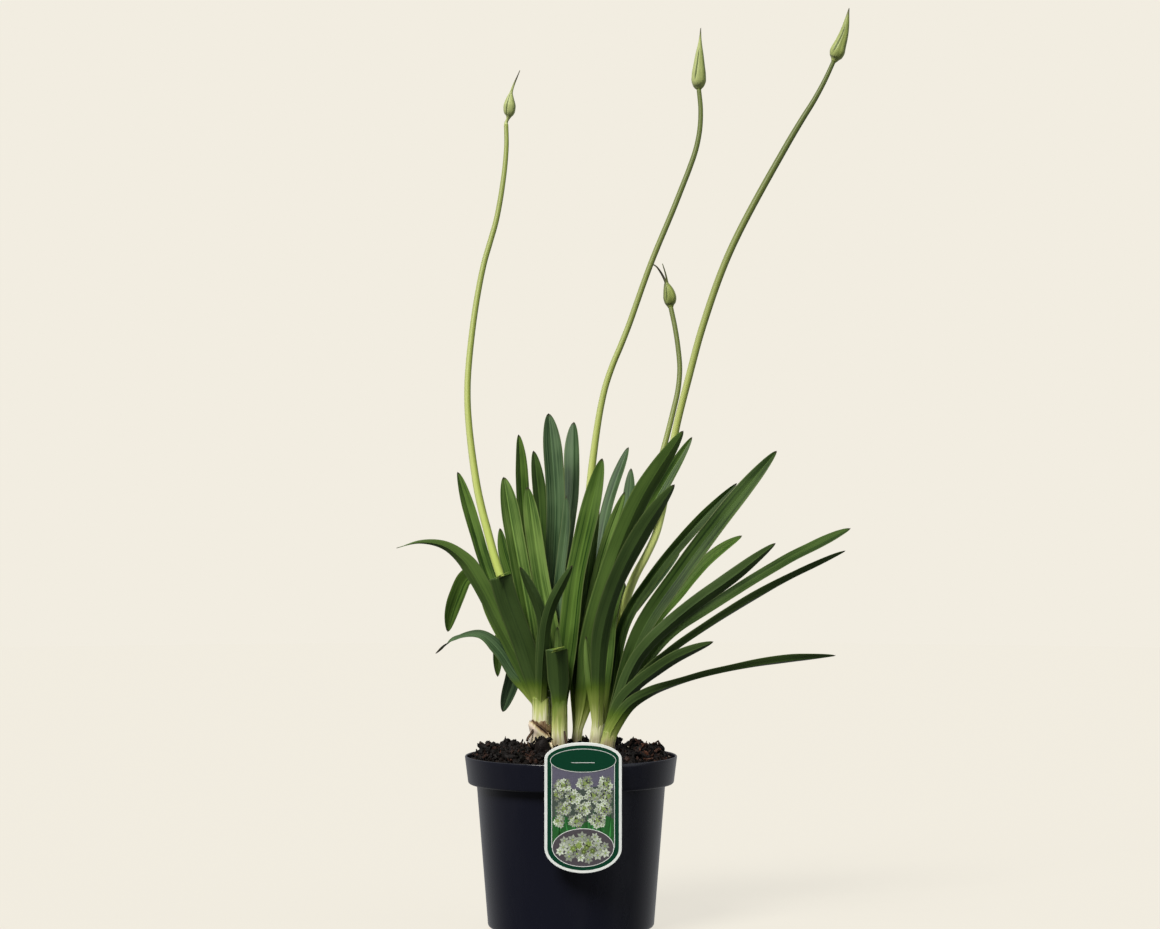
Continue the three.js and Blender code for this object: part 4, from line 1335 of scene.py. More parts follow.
    def hook(self) -> Surface:
        """The strip over the rim: a flat section carried back along the top and down into the soil."""
        over = POT.height + GAP + self.thickness / 2
        middle_y = self.tongue_back - self.thickness / 2
        bend = 1.6
        turn = np.radians(np.linspace(0.0, 90.0, 7))
        start = np.array([[self.front + self.thickness * 0.5, over]])
        curve = np.column_stack([middle_y - bend + bend * np.sin(turn), over - bend + bend * np.cos(turn)])
        end = np.array([[middle_y, self.tongue_foot]])
        line = np.vstack([start, curve, end])
        ahead = unit(np.gradient(line, axis=0))
        side = np.column_stack([-ahead[:, 1], ahead[:, 0]]) * self.thickness / 2
        half = self.hook_width / 2
        rows = [(-half, -1.0), (half, -1.0), (half, 1.0), (-half, 1.0)]
        corners = [
            np.column_stack([np.full(len(line), self.x + across), *(line + up * side).T])
            for across, up in rows
        ]
        return skin(np.stack(corners, axis=1)[::-1])

    def build(self) -> None:
        """Builds the plate with its hook, and the print on it."""
        back = self.front + self.thickness
        body = joined([self.plate(self.outline(0.0), self.front, back, 0.25), self.hook()])
        make_piece("card_plate", body, PlateFinish().material(), "card", "care_card", sharp=35.0)
        make_piece("card_print", self.printed(), CardFinish().material(), "card", sharp=30.0)


# ------------ leaves


@dataclass(frozen=True)
class BladeSize:
    """Sizes that all the strap leaves share."""

    layer: float = 1.75  # depth that one blade takes where it leaves its shoot
    rib: float = 1.2  # thickness along the middle
    margin: float = 0.5
    keel: float = 0.3  # how far the rib stands out below
    gutter: float = 0.155  # depth of the channel for each millimetre of width
    sheath: float = 0.09  # the same at the root
    tip: float = 0.3  # half width that is left at the very tip
    crease: float = 0.12  # depth of the line along the middle above
    ripple: Pair = (0.35, 21.0)  # height of the margins' waves, and their length
    sway: Pair = (0.3, 34.0)  # by how much the channel's depth varies, over which length
    wobble: Pair = (7.0, 47.0)  # how far the blade turns to and fro, over which length
    twist: float = 130.0  # how far a dry ribbon turns, in degrees
    ribbon: float = 1.5  # how much wider a dry ribbon gets
    buried: float = 30.0  # length that runs down inside the shoot
    browning: float = 5.0  # length of the brown tip
    greening: Pair = (55.0, 85.0)  # run over which whatever is still pale turns green
    sections: int = 92


BLADE = BladeSize()
HALF_SECTION = np.array([0.03, 0.09, 0.19, 0.33, 0.5, 0.67, 0.82, 0.93, 0.985])


@dataclass(frozen=True)
class Seat:
    """Where a layer stands on its shoot."""

    root: Array  # its middle, on the neck's flat top
    axis: Array  # the neck's direction
    chord: float  # the neck's width at the layer's depth
    fade: Pair  # heights between which the pale foot turns green

    def line_above(self, lean: float, path: Drawn) -> Rail:
        """The middle line from the root, through points [x, z] of the front elevation.

        The depth is root + lean run (1 + run / SPREAD), where run is the length drawn so far.
        """
        drawn = np.vstack([[self.root[0], self.root[2]], np.array(path, float)])
        run = np.concatenate([[0.0], np.cumsum(np.linalg.norm(np.diff(drawn, axis=0), axis=1))])
        points = at_depth(drawn, self.root[1] + lean * run * (1.0 + run / SPREAD))
        points[0] = self.root
        return Rail(catmull_rom(points))

    def rooted(self, above: Rail, buried: float) -> Rail:
        """The same line, led smoothly down into the shoot by a buried length."""
        count = max(4, round(above.length / 18.0))
        inside = self.root + self.axis * np.array([[-buried], [-buried / 2], [-3.0]])
        return Rail(catmull_rom(np.vstack([inside, above.at(np.linspace(11.0, above.length, count))])))


@dataclass(frozen=True)
class Leaf:
    """A strap leaf. Its path holds the points of its middle line after the root, as [x, z]."""

    tone: Tone
    width: float
    lean: float  # slope towards the back
    path: Drawn
    roll: float = 0.0  # from facing the front (0) to edge on (90)
    taper: float = 38.0  # length of the pointed end
    slim: float = 0.0  # power by which a slender end falls, or 0 for a rounded one
    unfold: float = 0.42  # part of its length in which it opens and turns from its root
    cut: bool = False  # a blunt end
    withered: float = 0.0  # length of a dry, twisted ribbon at its end

    @property
    def depth(self) -> float:
        """The depth that it takes on its neck."""
        return BLADE.layer

    def surface(self, seat: Seat, seed: int) -> Surface:
        """The blade as a closed skin over cross sections.

        A section's place u runs from 1 to -1 across the blade. The middle of its thickness follows
        gutter |u|^1.1, its thickness falls from the rib to the margin, and the upper and lower face
        meet at the margins in a round edge, (1 - |u|^8)^0.5. The half width opens from the neck's
        chord to the blade's width and falls by (1 - (1 - left)^2)^0.6 over the pointed end, or by
        left^slim over a slender one. A dry ribbon widens again by a sine, and turns half round.

        Args:
            seat: Where it stands.
            seed: Seed of its waves and of its pattern.

        Returns:
            The surface, with "strap", "growth" and "upper" kept at its points.
        """
        above = seat.line_above(self.lean, self.path)
        rail = seat.rooted(above, BLADE.buried)
        place = 1.0 - (1.0 - np.linspace(0.0, 1.0, BLADE.sections)) ** (1.0 if self.cut else 1.25)
        run = place * rail.length
        share = np.clip((run - BLADE.buried) / above.length, 0.0, 1.0)
        opened = smooth(share, 0.0, self.unfold)
        left = np.clip((rail.length - run) / self.taper, 0.0, 1.0)
        pointed = left**self.slim if self.slim else (1.0 - (1.0 - left) ** 2) ** 0.6
        fullness = np.ones_like(left) if self.cut else pointed
        half = np.maximum(BLADE.tip, mix(min(seat.chord, self.width), self.width, opened) * fullness / 2)
        ribbon = np.clip(1.0 - (rail.length - run) / max(self.withered, 0.1), 0.0, 1.0)
        half = half + BLADE.ribbon * np.sin(np.pi * ribbon)
        sway = BLADE.sway[0] * bumps(run, np.full_like(run, 3.7 * seed), BLADE.sway[1], 7)
        gutter = 2.0 * half * mix(BLADE.sheath, BLADE.gutter, opened) * (1.0 + sway * opened)
        tangents = rail.heading(run)
        across, front = facing_frames(tangents)
        facing = -1.0 if self.lean < 0 else 1.0
        side = -1.0 if above.dense[-1, 0] < seat.root[0] else 1.0
        wobble = BLADE.wobble[0] * bumps(run, np.full_like(run, 9.1 * seed), BLADE.wobble[1], 8)
        twist = BLADE.twist * smooth(ribbon, 0.0, 1.0)
        turn = np.radians(self.roll * opened + wobble * opened + twist)[:, None]
        normal = front * facing * np.cos(turn) + across * side * np.sin(turn)
        wide = unit(np.cross(normal, tangents))

        u = np.concatenate([[1.0], HALF_SECTION[::-1], [0.0], -HALF_SECTION, [-1.0]])
        u = np.concatenate([u, -HALF_SECTION[::-1], [0.0], HALF_SECTION])
        top = np.ones_like(u)
        top[2 * len(HALF_SECTION) + 3 :] = -1.0
        edge = np.sqrt(1.0 - np.abs(u) ** 8)
        rib = mix(BLADE.margin, BLADE.rib, fullness)[:, None]
        thick = mix(rib, BLADE.margin * (0.4 + 0.6 * fullness)[:, None], np.abs(u) ** 1.3)
        middle = gutter[:, None] * np.abs(u) ** 1.1 - thick / 2
        ridge = np.exp(-((u / 0.1) ** 2)) * (top < 0) * BLADE.keel * fullness[:, None]
        crease = np.exp(-((u / 0.06) ** 2)) * (top > 0) * BLADE.crease * opened[:, None]
        waves = BLADE.ripple[0] * bumps(run, np.full_like(run, 5.3 * seed), BLADE.ripple[1], 9)
        ripple = waves[:, None] * opened[:, None] * u**2
        height = middle + top * edge * thick / 2 - ridge - crease + ripple
        spread = (half[:, None] * u)[..., None] * wide[:, None, :]
        rings = rail.at(run)[:, None, :] + spread + height[..., None] * normal[:, None, :]

        pale = (1.0 - smooth(rings[..., 2], *seat.fade)) * (1.0 - smooth(run, *BLADE.greening))[:, None]
        dry = np.clip(1.0 - (rail.length - run) / max(BLADE.browning, self.withered), 0.0, 1.0)
        if self.cut:
            pale = np.maximum(pale, 0.45 * smooth(run, rail.length - 0.9, rail.length - 0.2)[:, None])
            dry = np.zeros_like(dry)
        values = {
            "strap": columns(u * self.width / 2, float(seed), run[:, None]),
            "growth": columns(u, pale, dry[:, None]),
            "upper": np.broadcast_to((top > 0).astype(float), height.shape),
        }
        return skin(rings, values)


# ------------ scapes and their buds


@dataclass(frozen=True)
class Bud:
    """A closed bud on the end of a scape.

    Its path holds the points of its middle line after the scape's end, as [x, z], and its girth is
    the radius at shares of that line.
    """

    name: str
    path: Drawn
    girth: Drawn
    furrow: float = -60.0  # where its valves meet, in degrees from its left side towards the front
    dry_from: float = 0.6  # share from which the beak is dry
    start: float = 2.0  # length that runs straight on from the scape
    second_beak: Drawn = ()  # points of a second beak's line, as [x, z]
    # That lightness is painted light, palest on the side towards the key light.
    light: float = 1.0  # how light its lit side is
    rows: int = 72
    sides: int = 72

    def surface(self, seat: Array, heading: Array) -> Surface:
        """A spindle carried along its line, with folds lengthwise.

        The radius is the girth times 1 + 0.03 cos 5a + 0.01 cos 8a, less a furrow: a bell curve of
        the angle a, as deep as a seventh of the radius, over the middle of the length.

        Args:
            seat: The scape's end.
            heading: The scape's direction there.

        Returns:
            The surface, with "strap" and "growth" kept at its points.
        """
        drawn = level(self.path, seat[1])
        rail = Rail(catmull_rom(np.vstack([seat - 0.5 * heading, seat + self.start * heading, drawn])))
        share = np.linspace(0.0, 1.0, self.rows)
        girth = catmull_rom(np.array(self.girth, float))
        radius = np.interp(share, girth[:, 0], girth[:, 1])[:, None]
        angle = around(self.sides)
        window = (smooth(share, 0.08, 0.25) * (1.0 - smooth(share, 0.55, 0.8)))[:, None]
        away = np.angle(np.exp(1j * (angle - math.radians(-self.furrow) - 0.7 * (share[:, None] - 0.3))))
        # The furrow where the valves meet is cut in and also darkened: painted shade.
        groove = np.exp(-((away / 0.17) ** 2)) * window
        folds = 0.03 * np.cos(5 * angle + 1.0) + 0.01 * np.cos(8 * angle + 2.0 * share[:, None])
        size = radius * (1.0 + folds * window - groove / 7.0)
        rings = round_rings(rail, share * rail.length, angle, size)
        # lesser: darker in the troughs of the folds, painted shade.
        lesser = 0.45 * np.clip(-folds * 20.0, 0.0, 1.0) * window
        # pale: painted light, lightest towards the key light.
        pale = self.light * (0.5 + 0.5 * np.cos(angle - PAINTED_LIGHT_SIDE))
        dry = smooth(share, self.dry_from - 0.12, self.dry_from + 0.2)[:, None]
        growth = columns(np.maximum(groove, lesser), pale * (1.0 - 0.5 * dry), dry)
        strap = round_strap(angle, radius.max(), share[:, None] * rail.length)
        return skin(rings, {"strap": strap, "growth": growth})

    def beak(self, seat: Array) -> Surface:
        """The second beak: a dry thread whose radius falls from 1 to 0.35 along its own line."""
        return thread(level(self.second_beak, seat[1] + 0.8), 1.0, 0.35)


def thread(points: Array, start: float, end: float, sides: int = 10, shade: float = 0.5) -> Surface:
    """A round thread through points, whose radius changes evenly from its start to its end.

    Args:
        points: The points of its middle line.
        start: Radius at its start.
        end: Radius at its end.
        sides: Points round it.
        shade: Its place between pale and dark, kept as the dryness in "growth" and as "tint".

    Returns:
        The surface, with "strap", "growth" and "tint" kept at its points.
    """
    rail = Rail(catmull_rom(points, 12))
    share = np.linspace(0.0, 1.0, max(8, round(rail.length / 1.2)))
    angle = around(sides)
    radius = mix(start, end, share)[:, None]
    rings = round_rings(rail, share * rail.length, angle, radius)
    strap = round_strap(angle, radius, share[:, None] * rail.length)
    tint = np.full(rings.shape[:2], shade)
    return skin(rings, {"strap": strap, "growth": columns(0.0, 0.0, tint), "tint": tint})


@dataclass(frozen=True)
class Scape:
    """A bare flower stem and the bud on its end. Its path is drawn as a leaf's is."""

    name: str
    lean: float
    path: Drawn
    bud: Bud
    radii: tuple[float, ...]  # at equal steps from its root to its end
    ripe: float = 0.5  # how dark its upper part is
    # The bright low part is partly the stem's own pale foot and partly painted light, for where it lies in
    # shade among the leaves.
    lime: Pair = (0.15, 0.45)  # shares between which its bright low part ends
    pallor_and_painted_light: float = 0.74  # how pale that part is
    root: float = 3.9  # its solid's radius at the root
    room: float = 0.9  # free depth beside it on its neck
    buried: float = 26.0
    sides: int = 48
    sections: int = 300

    @property
    def depth(self) -> float:
        """The depth that it takes on its neck."""
        return 2.0 * self.root + self.room

    def surface(self, seat: Seat) -> Surface:
        """A round rod along its line, with five low ribs lengthwise, 0.01 of the radius high."""
        above = seat.line_above(self.lean, self.path)
        rail = seat.rooted(above, self.buried)
        run = np.linspace(0.0, rail.length, self.sections)
        share = np.clip((run - self.buried) / above.length, 0.0, 1.0)
        angle = around(self.sides)
        girth = catmull_rom(np.column_stack([np.linspace(0.0, 1.0, len(self.radii)), self.radii]))
        radius = np.interp(share, girth[:, 0], girth[:, 1])[:, None]
        size = radius * (1.0 + 0.01 * np.cos(5 * angle + run[:, None] / 90.0))
        rings = round_rings(rail, run, angle, size, 3.0)
        pale = 1.0 - smooth(rings[..., 2], *seat.fade)
        # The low part's paleness is partly painted light.
        pale = np.maximum(pale, self.pallor_and_painted_light * (1.0 - smooth(share, *self.lime))[:, None])
        dark = self.ripe * smooth(share, 0.25, 0.9)[:, None]
        strap = round_strap(angle, radius, run[:, None])
        # The first part of growth places the painted light round the stem, 1 on the side towards the key
        # light.
        return skin(rings, {"strap": strap, "growth": columns(np.cos(angle - PAINTED_LIGHT_SIDE), pale, dark)})

    def end(self, seat: Seat) -> tuple[Array, Array]:
        """The middle of the bud's seat, 0.3 mm past the scape's end, and the direction there."""
        above = seat.line_above(self.lean, self.path)
        heading = above.heading(np.array([above.length]), 0.5)[0]
        return above.dense[-1] + GAP * heading, heading


# ------------ shoots


@dataclass(frozen=True)
class Shoot:
    """A shoot: a pale neck of wrapped leaf bases, and the blades and scapes that stand on its top.

    Foot and top are [x, y]; half is the neck's half width and half depth. The layers are listed from
    the front to the back, and its leaves are numbered in that order. The pale skin turns green between
    the heights in fade.
    """

    name: str
    foot: Pair
    top: Pair
    height: float
    half: Pair
    layers: tuple[Leaf | Scape, ...]
    fade: Pair
    power: float = 3.0  # the section lies between an ellipse (2) and a rectangle
    swell: tuple[float, ...] = (1.0, 1.04, 0.98, 1.0)
    collar: float = 8.0
    closing: Pair = (-15.0, 3.0)  # heights about its top between which it closes in
    waist: float = 0.96  # its half width where it has closed in on its layers, over the full one
    outermost: float = 0.97  # share of the half depth past which the chord gets no shorter
    wrap: float = 0.4  # how far a wrap's edge stands out
    soiled: Pair = (146.0, 162.0)  # heights between which the brown of its foot fades
    rows: int = 64
    sides: int = 96

    def seats(self) -> list[Seat]:
        """Gives each layer its place on the neck's top, from the front to the back."""
        depths = np.array([layer.depth for layer in self.layers])
        offsets = np.cumsum(depths) - depths / 2 - depths.sum() / 2
        rise = np.array([self.top[0] - self.foot[0], self.top[1] - self.foot[1], self.height - SOIL.bed])
        seats = []
        for offset in offsets:
            inset = min(self.outermost, abs(offset) / self.half[1]) ** self.power
            chord = 2.0 * self.half[0] * (1.0 - inset) ** (1.0 / self.power)
            root = np.array([self.top[0], self.top[1] + offset, self.height + GAP])
            seats.append(Seat(root, unit(rise), chord, self.fade))
        return seats

    def neck(self, seed: int) -> Surface:
        """The neck: a column of superellipses that closes in on its layers, with its wraps as steps.

        Towards the top the half depth falls to half the stack of layers. The wraps' edges slant
        round it, and each stands out and then fades over a third of a turn.

        Args:
            seed: Seed of the wraps' edges and of the pattern.

        Returns:
            The surface, with "strap" and "growth" kept at its points.
        """
        collar = SOIL.edge + self.collar
        levels = np.array([SOIL.bed, collar, (collar + self.height) / 2, self.height])
        stack = sum(layer.depth for layer in self.layers) / 2
        summit = self.height + self.closing[1]
        z = np.append(np.linspace(SOIL.bed + GAP, summit, self.rows - 3), summit + np.array([0.3, 0.5, 0.6]))
        swell = np.interp(z, levels, self.swell)
        closed = smooth(z, self.height + self.closing[0], summit)
        turned_in = np.append(np.zeros(self.rows - 3), [0.25, 0.7, 1.3])
        half_width = (self.half[0] * swell * mix(1.0, self.waist, closed) - turned_in)[:, None]
        half_depth = (mix(self.half[1] * swell, stack + 0.6, closed) - turned_in)[:, None]
        share = ((z - SOIL.bed) / (self.height - SOIL.bed))[:, None]
        angle = around(self.sides)
        out = np.zeros((self.rows, self.sides))
        draw = np.random.default_rng(seed)
        for start in draw.uniform(0.0, 2.0 * np.pi, 5):
            turn = np.mod(angle - start + 0.9 * share * draw.choice([-1.0, 1.0]), 2.0 * np.pi)
            out += self.wrap * smooth(turn, 0.0, 0.05) * (1.0 - smooth(turn, 0.05, 2.1))
        out += 0.12 * bumps(12.0 * angle + 0.0 * out, z[:, None] / 7.0 + 0.0 * out, 1.0, seed)
        out = (out - 0.55) * (1.0 - 0.6 * closed)[:, None]
        c, s = superellipse(angle, self.power)
        x = mix(self.foot[0], self.top[0], share) + (half_width + out) * c
        y = mix(self.foot[1], self.top[1], share) + (half_depth + out) * s
        rings = columns(x, y, z[:, None])
        pale = 1.0 - smooth(rings[..., 2], *self.fade)
        earthy = 1.0 - smooth(rings[..., 2], *self.soiled)
        strap = round_strap(angle, 7.0, z[:, None] + 40.0 * seed)
        return skin(rings, {"strap": strap, "growth": columns(0.0, pale, 0.75 * earthy)})

    def build(self, seed: int, materials: dict[str, Material]) -> None:
        """Builds the neck and every layer on it.

        Args:
            seed: Seed of the shoot.
            materials: The materials by the names of their finishes.
        """
        skin_color = materials["shoot_skin"]
        make_piece(f"shoot_{self.name}", self.neck(seed), skin_color, "neck", f"neck_{self.name}")
        leaves = 0
        for i, (layer, seat) in enumerate(zip(self.layers, self.seats())):
            if isinstance(layer, Leaf):
                leaves += 1
                place = f"{self.name}_{leaves}"
                green = materials[layer.tone.value.name]
                make_piece(f"blade_{place}", layer.surface(seat, seed + i), green, "leaf", f"leaf_{place}")
                continue
            name = layer.name.replace("stem", "scape")
            make_piece(name, layer.surface(seat), materials["scape_skin"], "stem", layer.name)
            end, heading = layer.end(seat)
            spathe = layer.bud.surface(end, heading)
            if layer.bud.second_beak:
                spathe = joined([spathe, layer.bud.beak(end)])
            name = layer.bud.name.replace("bud", "spathe")
            make_piece(name, spathe, materials["bud_skin"], "bud", layer.bud.name)


@dataclass
class PaperyWrap:
    """The dry sheath round the left neck's foot: a torn rim, a slanting fold and a groove above it.

    Its angles run from +X towards the back, in degrees.
    """

    shoot: Shoot
    foot: float = 146.0
    front_top: float = 165.5
    back_top: float = 154.0
    start: float = -170.0
    end: float = 40.0
    thickness: float = 0.35
    clear: float = 0.9  # how far it stands off the neck
    fold_at: Pair = (-28.0, 159.5)  # a point [x, z] of the fold
    fold_slope: float = -0.94
    sides: int = 170
    rows: int = 40
    lines: tuple[tuple, ...] = (  # fibres: points [x, y, z], then the radius at each end and the tint
        ((-17.5, -10, 151), (-16.6, -12.4, 149), (-15.6, -15.6, 146.5), (-14.4, -18.4, 142.6), 1.3, 1, 0.75),
        ((-30, -9.5, 158.5), (-32, -10, 155), (-34.4, -10.5, 151.5), (-35, -11, 149), 0.9, 1.1, 0.04),
        ((-34.6, -11, 148.5), (-33.6, -11.5, 146), (-31.8, -12, 143.5), 0.8, 0.6, 0.1),
        ((-32.5, -6.5, 164), (-27, -10.8, 162.5), (-21.5, -10.9, 158.5), (-17, -12, 154), 0.4, 0.2, 0.3),
        ((-18.5, -10.5, 156), (-16, -15, 151), (-14.6, -18, 147), 0.4, 0.2, 0.5),
        ((-5.2, -18.5, 158), (-4.6, -19, 153), (-3.6, -19.2, 148), (-2.5, -19.8, 144), 0.7, 1.2, 0.06),
    )

    def surface(self) -> Surface:
        """A thin wrap: its foot is level, and its top falls to one side and is torn in seeded teeth.

        Height over the slanting line is h. The fold stands out by a bell curve of h, the groove goes
        in by a narrower one about h = 4, and the wrap flares with the cube of the share of its height.

        Returns:
            The surface, with "strap" and "tint" kept at its points.
        """
        share = np.linspace(0.0, 1.0, self.sides)
        angle = np.radians(mix(self.start, self.end, share))
        teeth = 1.3 * bumps(share * 60.0, share, 1.0, 31) + 1.6 * bumps(share * 17.0, share, 1.0, 32)
        top = mix(self.front_top, self.back_top, smooth(share, 0.3, 1.0)) + teeth
        up = np.linspace(0.0, 1.0, self.rows)
        z = mix(self.foot, top[:, None], up)
        half_x, half_y = self.shoot.half
        c, s = superellipse(angle[:, None], self.shoot.power)
        aside = self.shoot.foot[0] + half_x * c - self.fold_at[0]
        over = z - self.fold_at[1] - self.fold_slope * aside
        fold = np.exp(-(((over + 1.0) / 3.0) ** 2))
        groove = np.exp(-(((over - 4.0) / 1.6) ** 2))
        ruffle = 0.3 * bumps(angle[:, None] * 9.0 + 0.0 * z, z / 9.0, 1.0, 33)
        flare = self.clear + 0.8 * up**3 * (1.0 + 0.6 * bumps(share * 9.0, share, 1.0, 34))[:, None]
        off = np.maximum(0.15, flare + ruffle + 1.1 * fold - 0.7 * groove)
        sides = []
        for out in (off, off + self.thickness):
            x = self.shoot.foot[0] + (half_x * 1.04 + out) * c
            y = self.shoot.foot[1] + (half_y * 1.04 + out) * s
            sides.append(columns(x, y, z))
        # The tint is partly the sheath's own browns and creams and partly painted light: lighter down the
        # left side and on the fold, with painted shade in the groove.
        left = smooth(-c, -0.2, 0.9)
        tint = 0.4 + 0.3 * left + 0.38 * fold - 0.5 * groove + 0.2 * smooth(-over, 2.0, 6.0)
        rings = np.concatenate([sides[0], sides[1][:, ::-1]], axis=1)
        strap = columns(angle[:, None] * 8.0, 1.0, rings[..., 2])
        return skin(rings, {"strap": strap, "tint": np.concatenate([tint, tint[:, ::-1]], axis=1)})

    def fibres(self) -> Surface:
        """The fold's loose end across to the next foot, a dark root, and fibres off the torn edge."""
        threads = []
        for *points, start, end, tint in self.lines:
            threads.append(thread(np.array(points, float), start, end, 8, tint))
        return joined(threads)

    def build(self) -> None:
        """Builds the wrap and its fibres."""
        paper = PaperFinish().material()
        make_piece("papery_wrap", self.surface(), paper, "dry_sheath", "dry_sheath")
        make_piece("loose_fibres", self.fibres(), paper, "dry_sheath")


# ------------ the plant's shoots


DEEP_AND_SHADED, LEAF, LIGHT, GREY = Tone

# The left shoot, with the arching and the cut blade.
LEFT_LAYERS = (
    Leaf(DEEP_AND_SHADED, 9, -0.36, ((-22, 222), (-18, 251), (-9, 271), (1, 289))),
    Leaf(DEEP_AND_SHADED, 9, -0.24, ((-24, 221), (-23, 246), (-31, 268), (-41, 288))),
    Leaf(DEEP_AND_SHADED, 18, -0.13, ((-39, 228), (-51, 260), (-57, 281)), cut=True),
    Leaf(
        LEAF, 15, -0.02, ((-57, 242), (-75, 277), (-93, 300), (-115, 308), (-140, 303)),
        roll=20, taper=65, slim=1.3,
    ),
    Leaf(
        GREY, 13, 0.06,
        ((-44, 201), (-55, 217), (-66, 230), (-78, 234.5), (-90, 232), (-108.5, 218.5)),
        roll=28, taper=55, slim=1.6, withered=24,
    ),
    Leaf(LIGHT, 16.5, 0.13, ((-33, 240), (-41, 285), (-48, 323), (-54, 360)), roll=22),
)

# The shoot behind it, with the left scape.
LEFT_REAR_LAYERS = (
    Leaf(LEAF, 11, 0.1, ((-34, 235), (-46, 275), (-54, 301), (-57, 319))),
    Scape(
        "stem_left", 0.14,
        ((-44, 250), (-58, 285), (-67, 317), (-75, 350), (-83, 420), (-80, 470), (-71, 526),
         (-59, 570), (-52, 620), (-52, 642)),
        bud=Bud(
            "bud_left", ((-50, 649), (-48, 668), (-41, 686)),
            ((0, 1.9), (0.1, 1.3), (0.16, 2.0), (0.21, 3.9), (0.28, 5.0), (0.34, 5.2), (0.42, 4.4),
             (0.52, 2.6), (0.62, 1.2), (0.74, 0.85), (0.86, 0.6), (1, 0.3)),
            dry_from=0.72, light=1.3,
        ),
        radii=(4.2, 3.6, 3.2, 2.7, 2.5, 2.3, 1.9), ripe=0.45,
    ),
    Leaf(LEAF, 13, 0.18, ((-29, 240), (-35, 293), (-39, 341), (-42, 394)), roll=38),
    Leaf(LEAF, 12.5, 0.24, ((-45, 237), (-66, 281), (-78, 319), (-91, 364)), roll=38),
    Leaf(LEAF, 14.5, 0.34, ((-60, 245), (-77, 285), (-92, 262), (-99, 236)), roll=25),
    Leaf(LEAF, 12, 0.52, ((-40, 222), (-52, 235), (-57, 221), (-59, 200)), roll=35),
    Leaf(GREY, 14, 0.75, ((-30, 212), (-39, 216), (-47, 194), (-55, 172)), roll=25),
)

# The shoot in the middle of the front, under the tallest fan.
FRONT_LAYERS = (
    Leaf(DEEP_AND_SHADED, 17.4, -0.26, ((-10.7, 205), (-11.7, 222)), cut=True),
    Leaf(LIGHT, 8, -0.14, ((-10, 215), (-11, 240))),
    Leaf(
        LEAF, 16.5, 0.04, ((-5.5, 205), (-2, 230), (3.5, 277), (12, 318), (25, 375)),
        taper=55, roll=15, unfold=0.13,
    ),
    Leaf(LIGHT, 13.5, 0.08, ((-15, 232), (-24, 277), (-29, 309), (-35, 352))),
    Leaf(GREY, 8, 0.12, ((-11, 230), (-10, 270), (-4, 325), (-4, 345))),
    Leaf(GREY, 17, 0.17, ((-13, 235), (-15, 269), (-13, 340), (-18, 411)), roll=22),
    Leaf(DEEP_AND_SHADED, 14, 0.23, ((-16, 235), (-22, 285), (-26, 345), (-30, 381)), roll=35),
    Leaf(GREY, 16, 0.3, ((-9, 235), (-6, 293), (1, 345), (2, 404)), roll=32),
)

# The leaning shoot with the middle scape.
MIDDLE_LAYERS = (
    Leaf(
        LEAF, 17, -0.15,
        ((9.5, 172), (12.2, 190), (14.8, 221), (25.4, 265), (54, 339), (90, 397)),
        taper=70, roll=18, unfold=0.12,
    ),
    Leaf(LIGHT, 9.5, 0, ((8.5, 190), (11, 225), (22, 284), (31, 315), (43, 348))),
    Leaf(DEEP_AND_SHADED, 9.5, 0.04, ((5.5, 190), (8, 230), (14, 285), (18, 325), (21, 353))),
    Scape(
        "stem_middle", 0.08,
        ((7, 200), (9, 240), (12, 310), (18, 378), (28, 434), (45, 478), (64, 531), (85, 582),
         (101, 626), (104, 650), (102.5, 671)),
        bud=Bud(
            "bud_middle", ((102.5, 680), (103, 697), (104, 720)),
            ((0, 1.9), (0.03, 3.6), (0.08, 5.2), (0.16, 6.1), (0.26, 5.8), (0.38, 4.9), (0.58, 3.3),
             (0.74, 1.7), (0.86, 0.85), (1, 0.3)),
            dry_from=0.85,
        ),
        radii=(3.4, 3.4, 3.2, 2.6, 2.4, 2.3, 1.9), ripe=0.8,
    ),
    Leaf(GREY, 10, 0.16, ((3.5, 190), (5.5, 225), (11, 262), (17, 305))),
    Leaf(GREY, 12, 0.23, ((9, 195), (13, 240), (22, 295), (31, 340), (46, 384)), roll=42),
)

# The shoot right of the middle, with the short scape.
RIGHT_MIDDLE_LAYERS = (
    Leaf(DEEP_AND_SHADED, 16, -0.2, ((24, 230), (35, 271), (58, 317), (83, 354)), taper=60, roll=25),
    Leaf(LIGHT, 8, -0.1, ((15, 200), (12, 232))),
    Leaf(
        LEAF, 11, 0.1,
        ((28.9, 215), (31.9, 250), (47, 304), (70, 347), (97, 392)), taper=55,
    ),
    Scape(
        "stem_right_short", 0.14,
        ((38, 280), (64, 349), (80, 405), (87, 440), (85, 470), (80, 496)),
        bud=Bud(
            "bud_short", ((79, 506), (75.7, 516.8), (72.1, 523.8), (68.1, 529), (64.3, 531)),
            ((0, 2.0), (0.05, 3.1), (0.11, 4.7), (0.2, 5.4), (0.31, 4.7), (0.41, 3.4), (0.49, 2.0),
             (0.55, 1.1), (0.75, 0.85), (1, 0.45)),
            dry_from=0.5,
            second_beak=((78, 512), (76.9, 518), (75.5, 524), (73.3, 531)),
            light=0.5,
        ),
        radii=(3.4, 3.1, 2.8, 2.5, 2.3, 2.1, 2.0), ripe=0.8,
    ),
    Leaf(GREY, 12, 0.2, ((24, 245), (36, 295), (46, 333), (48, 367)), roll=30),
    Leaf(DEEP_AND_SHADED, 13, 0.25, ((22, 230), (25, 262), (28, 293)), roll=10),
)

